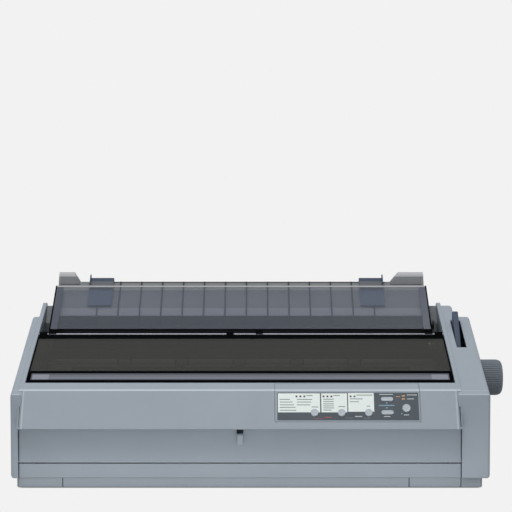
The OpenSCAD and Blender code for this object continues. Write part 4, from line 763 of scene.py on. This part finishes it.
# printed polycarbonate film: dark slate, smooth; button ABS: pale and satin
label_pc = surface("printed_polycarbonate", "#3F4A53", "#3A454E", blotch=30, grain=0.5, depth=0.008,
                   roughness=(0.34, 0.46))
button_abs = surface("button_abs", "#BDC6CB", "#B5BEC4", blotch=9, grain=0.7, depth=0.02,
                     roughness=(0.36, 0.48))
holes = [prism(stadium(*place, KEY_GAP), -20, 8, WEDGE) for place in KEYS.values()]
holes += [prism(field(x - a, x + a, s - b, s + b), -20, 8, WEDGE)
          for lamps, a, b in ((LAMPS, 1.25, 1.25), (WARNINGS, 2.05, 0.85)) for x, s in lamps]
recess = prism(field(18.95, 198.05, 11.45, 49.0), -0.42, 3, WEDGE)
housing = fused("panel_moulding", [drawn(panel_outline(0), *PANEL, 0.7)], [recess] + holes)
finished(housing, case_abs, "root", "case_plastic", "panel_housing")
dressed(label_pc, "panel_label")
dressed(solder_mask("solder_mask"), "control_board")
for name, place in KEYS.items():
    rings = [[(*spot, height) for spot in stadium(*place, grow)] for grow, height in KEY_RINGS]
    cap = piece(name.replace("_button", "") + "_cap", stacked(rings, WEDGE))
    finished(cap, button_abs, name, "button_plastic", name)

# clear tinted acrylic lenses: dark where the lamp is off, amber in the two warning lamps
lens = surface("tinted_acrylic", "#3B3A34", "#45433B", blotch=3, grain=0.5, depth=0.004,
               roughness=(0.12, 0.22))
tree = lens.node_tree
place = add(tree, "SeparateXYZ", {0: add(tree, "TexCoord").outputs["Object"]})
warning = add(tree, "Math", {0: place.outputs["X"], 1: WARNINGS_FROM / 1000}, operation="GREATER_THAN")
painted(lens, warning.outputs[0], "#D9A066")
dressed(lens, "indicator_lenses")

# Printing on the label, in thin raised inks: pale fields, and bare dashes, each given by its ends
# and its middle. An ink has its tone, its height and its fields, from width to width and step to step.
GREY_DASH = 1.1
PALE_DASH = 1.0
GREY_DASHES = (
    (22.1, 35, 39.6), (22.1, 38.5, 36.1), (22.1, 40.4, 32.3), (22.1, 42, 28.9), (22.1, 43, 25),
    (43.9, 63.2, 39.6), (43.9, 61.9, 36.1), (43.9, 60.6, 32.3), (56.1, 63.8, 44.9), (62.6, 70.9, 29.5),
    (77.3, 90.8, 39.9), (77.3, 90.5, 36.8), (77.3, 90.5, 33.7), (77.3, 90.5, 30.9), (77.3, 90.8, 28.2),
    (77.3, 87.6, 25.3), (90.2, 98.5, 44.9), (96.3, 104.9, 29.9), (119.7, 139.9, 45.5),
    (111, 127.4, 40.4), (111, 122.6, 36.5), (132.2, 136.4, 30.6))
PALE_DASHES = ((148.6, 165.9, 46.5), (153.4, 161.7, 16.7), (183.5, 196.4, 45.8), (183.5, 192.5, 40.4),
               (117.1, 126.1, 16.7), (178.7, 185.2, 18.8))
INKS = {
    "white_ink": ("#F2F9F4", 0.03, [(19.9, 73.2, 22.3, 47.9), (74.8, 107.5, 22.3, 47.9),
                                    (108.8, 141.5, 23.1, 48.4)]),
    "grey_ink": ("#7F918C", 0.06, [(x0, x1, s - GREY_DASH / 2, s + GREY_DASH / 2)
                                   for x0, x1, s in GREY_DASHES]),
    "pale_ink": ("#C9D3D6", 0.05, [(x0, x1, s - PALE_DASH / 2, s + PALE_DASH / 2)
                                   for x0, x1, s in PALE_DASHES]),
    "blue_ink": ("#8FB6CC", 0.05, [(156.6, 158.5, 34.2, 35.6), (156.6, 158.5, 27.6, 29),
                                   (147.6, 167.2, 31.1, 32.1), (175.5, 176.8, 19.8, 21.2)]),
    "amber_ink": ("#C79A6B", 0.05, [(169.4, 174.9, 42.9, 43.9)]),
    "red_ink": ("#B2524E", 0.05, [(78.6, 87.6, 15.2, 16.2), (65.8, 78, 13.8, 14.2)]),
    "line_ink": ("#8D989E", 0.05, [(104.9, 113.9, 14.5, 14.9), (128, 134.8, 14.1, 14.5),
                                   (134.4, 134.9, 14.1, 18.1)]),
}
for name, (tone, height, fields) in INKS.items():
    ink = surface(name, tone, tone, blotch=2, grain=0.3, depth=0.004, roughness=(0.4, 0.5))
    prints = [prism(field(*sides), -0.02, height, WEDGE) for sides in fields]
    finished(fused(name + "_print", prints), ink, "root", "label_film")

# ---- Front cover ----
# A flat ABS sheet-guide cover between the shoulders. It turns down on two pins at its lower
# corners; a finger tab stands out under a notch in its top edge.
TAB = (-32, -24.5)
plate = boxed((-309.4, 21.5, 32.7), (252.9, 25, 75.4))
tab = drawn([(22.5, 69.8), (17.2, 70.4), (16.5, 68.6), (19.9, 56), (22.5, 54.6)], *TAB, 0.7)
notch = drawn([(19, 70.4), (26, 70.4), (26, 78), (19, 78)], TAB[0] - 0.4, TAB[1] + 0.4, 0)
pins = [rod(-312.9, -306.4, 1.5, *PIVOT, 0.3), rod(249.9, 256.4, 1.5, *PIVOT, 0.3)]
plate = fused("front_cover_moulding", [plate], [notch])
plate = fused("front_cover_moulding", [plate, tab] + pins)
finished(plate, case_abs, "front_cover", "case_plastic", "front_cover")

# ---- Smoky covers ----
# Printer cover and rear sheet-guide cover, both injection moulded in smoky, see-through ABS,
# turn on one steel rod. The cover's front band is frosted; its barrels and the flap's alternate.
BARREL = 10
BARREL_R = 3.8
ROD_BORE = 2.05
SKIN = 2.4
COVER = (BAY[0] + 0.6, BAY[1] - 0.6)
COVER_HALF = (COVER[1] - COVER[0]) / 2
COVER_D = 45.6
COVER_BARRELS = (-302.5, -48.25, 236)
FLAP_HALF = (FLAP[1] - FLAP[0]) / 2
FLAP_SLOPE = 33.5
FLAP_BARRELS = (-290.55, -8.25, 222.45)
EDGE_BLACK = "#0B0C0D"


def smoky_plastic(name, body, tint, share, sides, zones):
    """Smoky see-through plastic: a share of what meets a face stays on it, and the rest is tinted."""
    made = surface(name, body, body, blotch=60, grain=1.1, depth=0.006, roughness=(0.14, 0.2), **MATT)
    half = (sides[1] - sides[0]) / 2
    rims = ({"S": (half - 2, half + 1)}, EDGE_BLACK, 1)
    kept = zoned(made, sum(sides) / 2, [*zones, rims], share)
    dulled(made)
    tree = made.node_tree
    clear = add(tree, "BsdfTransparent", {"Color": linear(tint)})
    solid = tree.nodes["Principled BSDF"].outputs[0]
    mixed = add(tree, "MixShader", {0: kept, 1: clear.outputs[0], 2: solid})
    tree.links.new(mixed.outputs[0], tree.nodes["Material Output"].inputs["Surface"])
    return made


# the plastic is black in its thick rims and barrels, and pale where the band is frosted, palest towards its
# middle, with painted highlights near the band's ends
smoky = smoky_plastic("smoky_abs", "#60615C", "#BEBDBA", 0.34, COVER, [
    ({"Y": (159, 180)}, EDGE_BLACK, 0.97), ({"Y": (40, 72.6)}, "#0A0B0E", 1),
    ({"Y": (52.5, 66.5), "S": (0, COVER_HALF - 5)}, "#54575F", 1),
    ({"Y": (54, 63), "S": (0, COVER_HALF - 6)}, "#6B6E77", 1),
    ({"Y": (55, 59), "S": (0, COVER_HALF - 7)}, "#777A84", 1),
    # painted highlights near the frosted band's ends
    ({"Y": (53.5, 64), "S": (COVER_HALF - 28, COVER_HALF - 7)}, "#8C8E98", 1)])
smoky_flap = smoky_plastic("smoky_flap_abs", "#868C96", "#FAFBFD", 0.2, FLAP, [
    ({"S": (FLAP_HALF - 11, FLAP_HALF)}, "#5C616D", 0.85), ({"Z": (180, 185.4)}, "#0D0E10", 0.97),
    # painted highlight along the flap's top bead
    ({"Z": (236.7, 240)}, "#B3B1B2", 0.95)])
# the rod is drawn and polished steel: a thin mirror-bright line
polished = surface("polished_steel", "#7B7D81", "#727478", blotch=6, grain=0.4, depth=0.002,
                   roughness=(0.16, 0.22), Metallic=1.0)
shaft("cover_rod", "hinge_rod", "root", -305.5, 249, 2, *HINGE, metal=polished)
BAND_D = COVER_D + 24
END_D = HINGE[0] - 9.5
front, band, back = deck(COVER_D), deck(BAND_D) + 1.2, deck(END_D) + 1.2
lid = [drawn([(48, front - 5), (46.1, front - 1.2), (47.1, front), (BAND_D, band), (END_D, back),
              (END_D, back - SKIN), (BAND_D, band - SKIN), (50.6, front - 1.8), (50.4, front - 5)],
             *COVER, 0.35, 2)]
for x in (COVER[0], COVER[1] - SKIN):
    lid.append(drawn([(48, front - 5), (BAND_D, band - 6.2), (END_D, back - 6.2), (END_D, back - 0.2),
                      (BAND_D, band - 0.2), (47.4, front - 0.2), (46.3, front - 1.4)], x, x + SKIN, 0.35, 2))
for x in COVER_BARRELS:
    lid.append(rod(x, x + BARREL, BARREL_R, *HINGE, 0.5))
    lid.append(drawn([(END_D - 2, deck(END_D - 2) + 1.1), (HINGE[0] - 1, HINGE[1] + 3.5), HINGE,
                      (END_D - 2, deck(END_D - 2) - 1)], x, x + BARREL, 0))
lid = fused("printer_cover_moulding", lid, [bore(COVER[0] - 1, COVER[1] + 1, ROD_BORE, *HINGE)])
finished(lid, smoky, "printer_cover", "smoky_plastic", "printer_cover")

# the flap is made level, with its hinge at the origin, and is then turned to its slope
ALONG_FLAP = Matrix.Translation(at(0, *HINGE)) @ Matrix.Rotation(math.radians(FLAP_SLOPE), 4, "X")
FLAP_D = (HALF_DEPTH + 9.5, HALF_DEPTH + 106)
flap = [boxed((FLAP[0], FLAP_D[0], -0.6), (FLAP[1], FLAP_D[1], 1.8), 0.3, 2)]
flap += [boxed((x, FLAP_D[0], -3.2), (x + SKIN, FLAP_D[1], 1.79), 0.3, 2) for x in (FLAP[0], FLAP[1] - SKIN)]
# a bead stiffens its upper edge, and each barrel is tied to the plate by a lug
flap.append(rod(*FLAP, 1.4, HALF_DEPTH + 104.6, 0.4, 0.3))
for x in FLAP_BARRELS:
    flap += [rod(x, x + BARREL, BARREL_R, HALF_DEPTH, 0, 0.5),
             boxed((x, HALF_DEPTH, -0.6), (x + BARREL, HALF_DEPTH + 11.5, 1.78), 0.2, 2)]
rod_way = bore(FLAP[0] - 1, FLAP[1] + 1, ROD_BORE, HALF_DEPTH, 0)
for solid in [*flap, rod_way]:
    bmesh.ops.transform(solid, matrix=ALONG_FLAP, verts=solid.verts)
flap = fused("rear_flap_moulding", flap, [rod_way])
finished(flap, smoky_flap, "rear_flap", "smoky_plastic", "rear_flap")

# ---- Paper guide ----
# A ribbed ABS plate that stands behind the platen and tilts on two pins. Its ears reach over the
# rear cover; two blue-grey edge guides slide along its upper edge.
GUIDE = (-289.05, 230.95)
BEND = (238, 206.501)
GUIDE_SLOPE = 36.5
GUIDE_LENGTH = 60.5
GUIDE_THICK = 2.5
RIB = 3
RIB_WIDE = 1.6
RIB_SHADE_WIDTH = 2
RIB_X = -231.55
RIB_PITCH = 29.9
RIB_COUNT = 14
EAR_TOP = 256
up = Vector((math.cos(math.radians(GUIDE_SLOPE)), math.sin(math.radians(GUIDE_SLOPE))))
TOP = (BEND[0] + GUIDE_LENGTH * up.x, BEND[1] + GUIDE_LENGTH * up.y)
EAR_RISE = EAR_TOP - TOP[1]


def from_(place, *steps):
    """An outline given by its steps away from one place."""
    return [(place[0] + d, place[1] + z) for d, z in steps]


def ear(x0, x1, x2):
    """A sloped block that tapers from the plate (x0..x2) up to its top (x0..x1)."""
    foot = from_(TOP, (-6, -4), (-6, -2), (6, 0), (6, -4))
    top = from_(TOP, (-1, EAR_RISE - 3.2), (4, EAR_RISE), (8, EAR_RISE - 3), (4, EAR_RISE - 6))
    bm = bmesh.new()
    for far, outline in ((x2, foot), (x1, top)):
        for x in (x0, far):
            for d, z in outline:
                bm.verts.new(at(x, d, z))
    bmesh.ops.convex_hull(bm, input=bm.verts)
    bmesh.ops.dissolve_limit(bm, angle_limit=0.02, verts=bm.verts, edges=bm.edges)
    return rounded(bm, 0.5, 2)


# guide ABS: a neutral grey, with painted highlights along its bend and on the ears' tops
guide_abs = surface("guide_abs", "#808284", "#797B7E", blotch=35, grain=0.9, depth=0.02,
                    roughness=(0.42, 0.55), **MATT)
zoned(guide_abs, sum(GUIDE) / 2, [({"Z": (200, 209)}, "#94969B"), ({"Z": (250, 257)}, "#B9B9BB"),
                                  ({"S": (0, 205), "Z": (240.9, 243.2)}, "#3A3C3F")])
# painted shade on the ribs makes them read as dark lines: within their row, the widths that each of them
# covers
reach = (RIB_COUNT - 1) / 2
middle = (RIB_X + RIB_PITCH * reach) / 1000
first = (RIB_X - (RIB_SHADE_WIDTH - RIB_WIDE) / 2) / 1000
tree = guide_abs.node_tree
place = add(tree, "SeparateXYZ", {0: add(tree, "TexCoord").outputs["Object"]}).outputs["X"]
wrapped = add(tree, "Math", {0: place, 1: first + RIB_PITCH / 1000, 2: first}, operation="WRAP")
on_rib_shade = add(tree, "Math", {0: wrapped.outputs[0], 1: first + RIB_SHADE_WIDTH / 1000}, operation="LESS_THAN")
among = add(tree, "Math", {0: place, 1: middle, 2: RIB_PITCH * (reach + 0.1) / 1000}, operation="COMPARE")
both = add(tree, "Math", {0: on_rib_shade.outputs[0], 1: among.outputs[0]}, operation="MULTIPLY")
painted(guide_abs, both.outputs[0], "#3A3D42")
# painted shade: the plate is dark below its bend, where it leads the paper down to the platen
zoned(guide_abs, 0, [({"Z": (140, 199)}, "#1E2023")])
dulled(guide_abs)
# edge guide ABS: blue-grey, greyer near the top of the face, and darker above the plate's edge
edge_abs = surface("edge_guide_abs", "#515F76", "#4B586E", blotch=22, grain=0.9, depth=0.02,
                   roughness=(0.4, 0.52), **MATT)
zoned(edge_abs, 0, [({"Z": (233, 243.5)}, "#63676B"), ({"Z": (243.5, 257)}, "#434D5F")])

inward = Vector((up.y, -up.x)) * GUIDE_THICK
outward = Vector((-up.y, up.x)) * RIB
plate = [drawn([TOP, BEND, *from_(BEND, (-9, -8.5), (-14, -20), (-34, -38), (-37, -52), (-34.5, -52),
                                  (-31.5, -38.75), (-11.5, -21.25), (-6.5, -9.5), inward),
                *from_(TOP, inward)], *GUIDE, 0.3, 2)]
rib_outline = [TOP, *from_(TOP, (-2 + outward.x * 0.6, -1 + outward.y * 0.6)),
               *from_(BEND, outward, (-9 - RIB * 0.8, -8.5 + RIB * 0.3), (-14, -20), (-9, -8.5)), BEND]
for i in range(RIB_COUNT):
    x = RIB_X + RIB_PITCH * i
    plate.append(drawn(rib_outline, x, x + RIB_WIDE, 0.2, 2))
for x in (GUIDE[0], GUIDE[1] - 4):
    plate.append(drawn(from_(TOP, (-10, -7.4), (-6, 2), (4, EAR_RISE), (9, EAR_RISE - 4), (3, -6)),
                       x, x + 4, 0.5, 2))
    plate.append(drawn(from_(BEND, (-2, -1), (-14, -18), (-17, -26), (-6, -26), (12, 5)), x, x + 4, 0.4, 2))
plate += [ear(GUIDE[0], GUIDE[0] + 22, GUIDE[0] + 30), ear(GUIDE[1], GUIDE[1] - 36, GUIDE[1] - 47)]
GUIDE_PIN = (3, BEND[0] - 12, BEND[1] - 22)
plate += [rod(-292.4, GUIDE[0] + 1, *GUIDE_PIN), rod(GUIDE[1] - 1, 240.4, *GUIDE_PIN)]
groove = drawn([(HALF_DEPTH - 9, -4), (HALF_DEPTH - 9, -1.6), (HALF_DEPTH - 5, -1.6), (HALF_DEPTH - 5, -4)],
               GUIDE[0] + 34, GUIDE[1] - 56, 0)
ALONG_GUIDE = Matrix.Translation(at(0, *TOP)) @ Matrix.Rotation(math.radians(GUIDE_SLOPE), 4, "X")
bmesh.ops.transform(groove, matrix=ALONG_GUIDE, verts=groove.verts)
plate = fused("paper_guide_moulding", plate, [groove])
finished(plate, guide_abs, "paper_guide", "guide_plastic", "paper_guide")

# each edge guide from its outer edge inwards: face, fence, bridge over the top, hook and slider
FACE = RIB + 0.3
EDGE_BOXES = [((0, -55, FACE), (34, 3.4, FACE + 1), 0.4), ((0, -12, FACE), (1.6, 6.5, FACE + 5), 0.5),
              ((0, 0.3, -4.7), (34, 3.4, FACE + 0.1), 0.4), ((2, -10, -4.7), (32, 0.4, -2.8), 0.3),
              ((6, -8.6, -3), (28, -5.4, -2), 0.1)]
for side, x, way in (("left", GUIDE[0] + 44.5, 1), ("right", GUIDE[1] - 58, -1)):
    solids = []
    for low, high, radius in EDGE_BOXES:
        near, far = sorted((x + way * low[0], x + way * high[0]))
        solid = boxed((near, HALF_DEPTH + low[1], low[2]), (far, HALF_DEPTH + high[1], high[2]), radius, 2)
        bmesh.ops.transform(solid, matrix=ALONG_GUIDE, verts=solid.verts)
        solids.append(solid)
    name = side + "_edge_guide"
    finished(fused(name + "_moulding", solids), edge_abs, name, "slate_plastic", name)

# ---- Release lever and power switch ----
# The slate-blue lever turns on a stub in the right shoulder and stands out of its slot; it swaps
# the tractors for the friction rollers. A black rocker switch snaps into the left side.
BLADE = (263.1, 270.6)
blade = drawn(from_(STUB, (9, 0), (8, 60), (2, 102), (-1, 106.5), (-5, 107), (-8, 104), (-26, 84),
                    (-46, 62), (-40, 50), (-9, 0)), *BLADE, 1.2)
lever = fused("release_lever_moulding", [blade, rod(*BLADE, 9, *STUB, 0.5)],
              [bore(BLADE[0] - 1, BLADE[1] + 1, 4.05, *STUB)])
finished(lever, slate_abs, "release_lever", "slate_plastic", "release_lever")
ROCKER = Matrix.Translation(at(-317.2, 330, 62))
rocker = prism([(-0.6, -12.4), (1.2, 0), (-2.2, 12.4), (3, 11.5), (5, 0), (3, -11.5)], -7.5, 7.5, ROCKER, 0.4)
finished(piece("rocker", rocker), cassette_ps, "power_switch", "dark_plastic", "power_switch")

# ---- Rear fittings ----
# The mains inlet, the interface sockets and the cover of the option slot, in the rear wall:
# shells in black nylon, with contacts of plated spring steel inside.
BACK = 401.8
shells, holes = [], []
for name, (x0, x1, z0, z1) in REAR_OPENINGS.items():
    deep = 2.5 if name == "slot cover" else 14
    shells.append(boxed((x0, BACK - deep, z0), (x1, BACK, z1), 0.5, 2))
    if name != "slot cover":
        holes.append(boxed((x0 + 2.4, BACK - deep + 3, z0 + 2.4), (x1 - 2.4, BACK + 2, z1 - 2.4), 0))
holes += [boxed((x, BACK - 0.8, 38), (x + 3, BACK + 1, 50), 0) for x in range(-14, 58, 7)]
finished(fused("rear_sockets", shells, holes), nylon, "root", "dark_plastic", "rear_fittings")
# three blades in the inlet, and a tongue of contacts in each of the other sockets
contacts = [boxed((x - 0.9, BACK - 12, z - 2.2), (x + 0.9, BACK - 2.5, z + 2.2), 0.2, 2)
            for x, z in ((-253, 39), (-241, 39), (-247, 44.5))]
contacts += [boxed((x0, BACK - 12, z0), (x1, BACK - 1.5, z1), radius, 2) for x0, x1, z0, z1, radius in
             ((156, 200, 39.8, 44.2, 0.4), (90, 112, 38.5, 43.5, 0.4), (225.5, 232.5, 39, 43, 0.3))]
finished(fused("socket_contacts", contacts), spring_steel, "root", "steel")
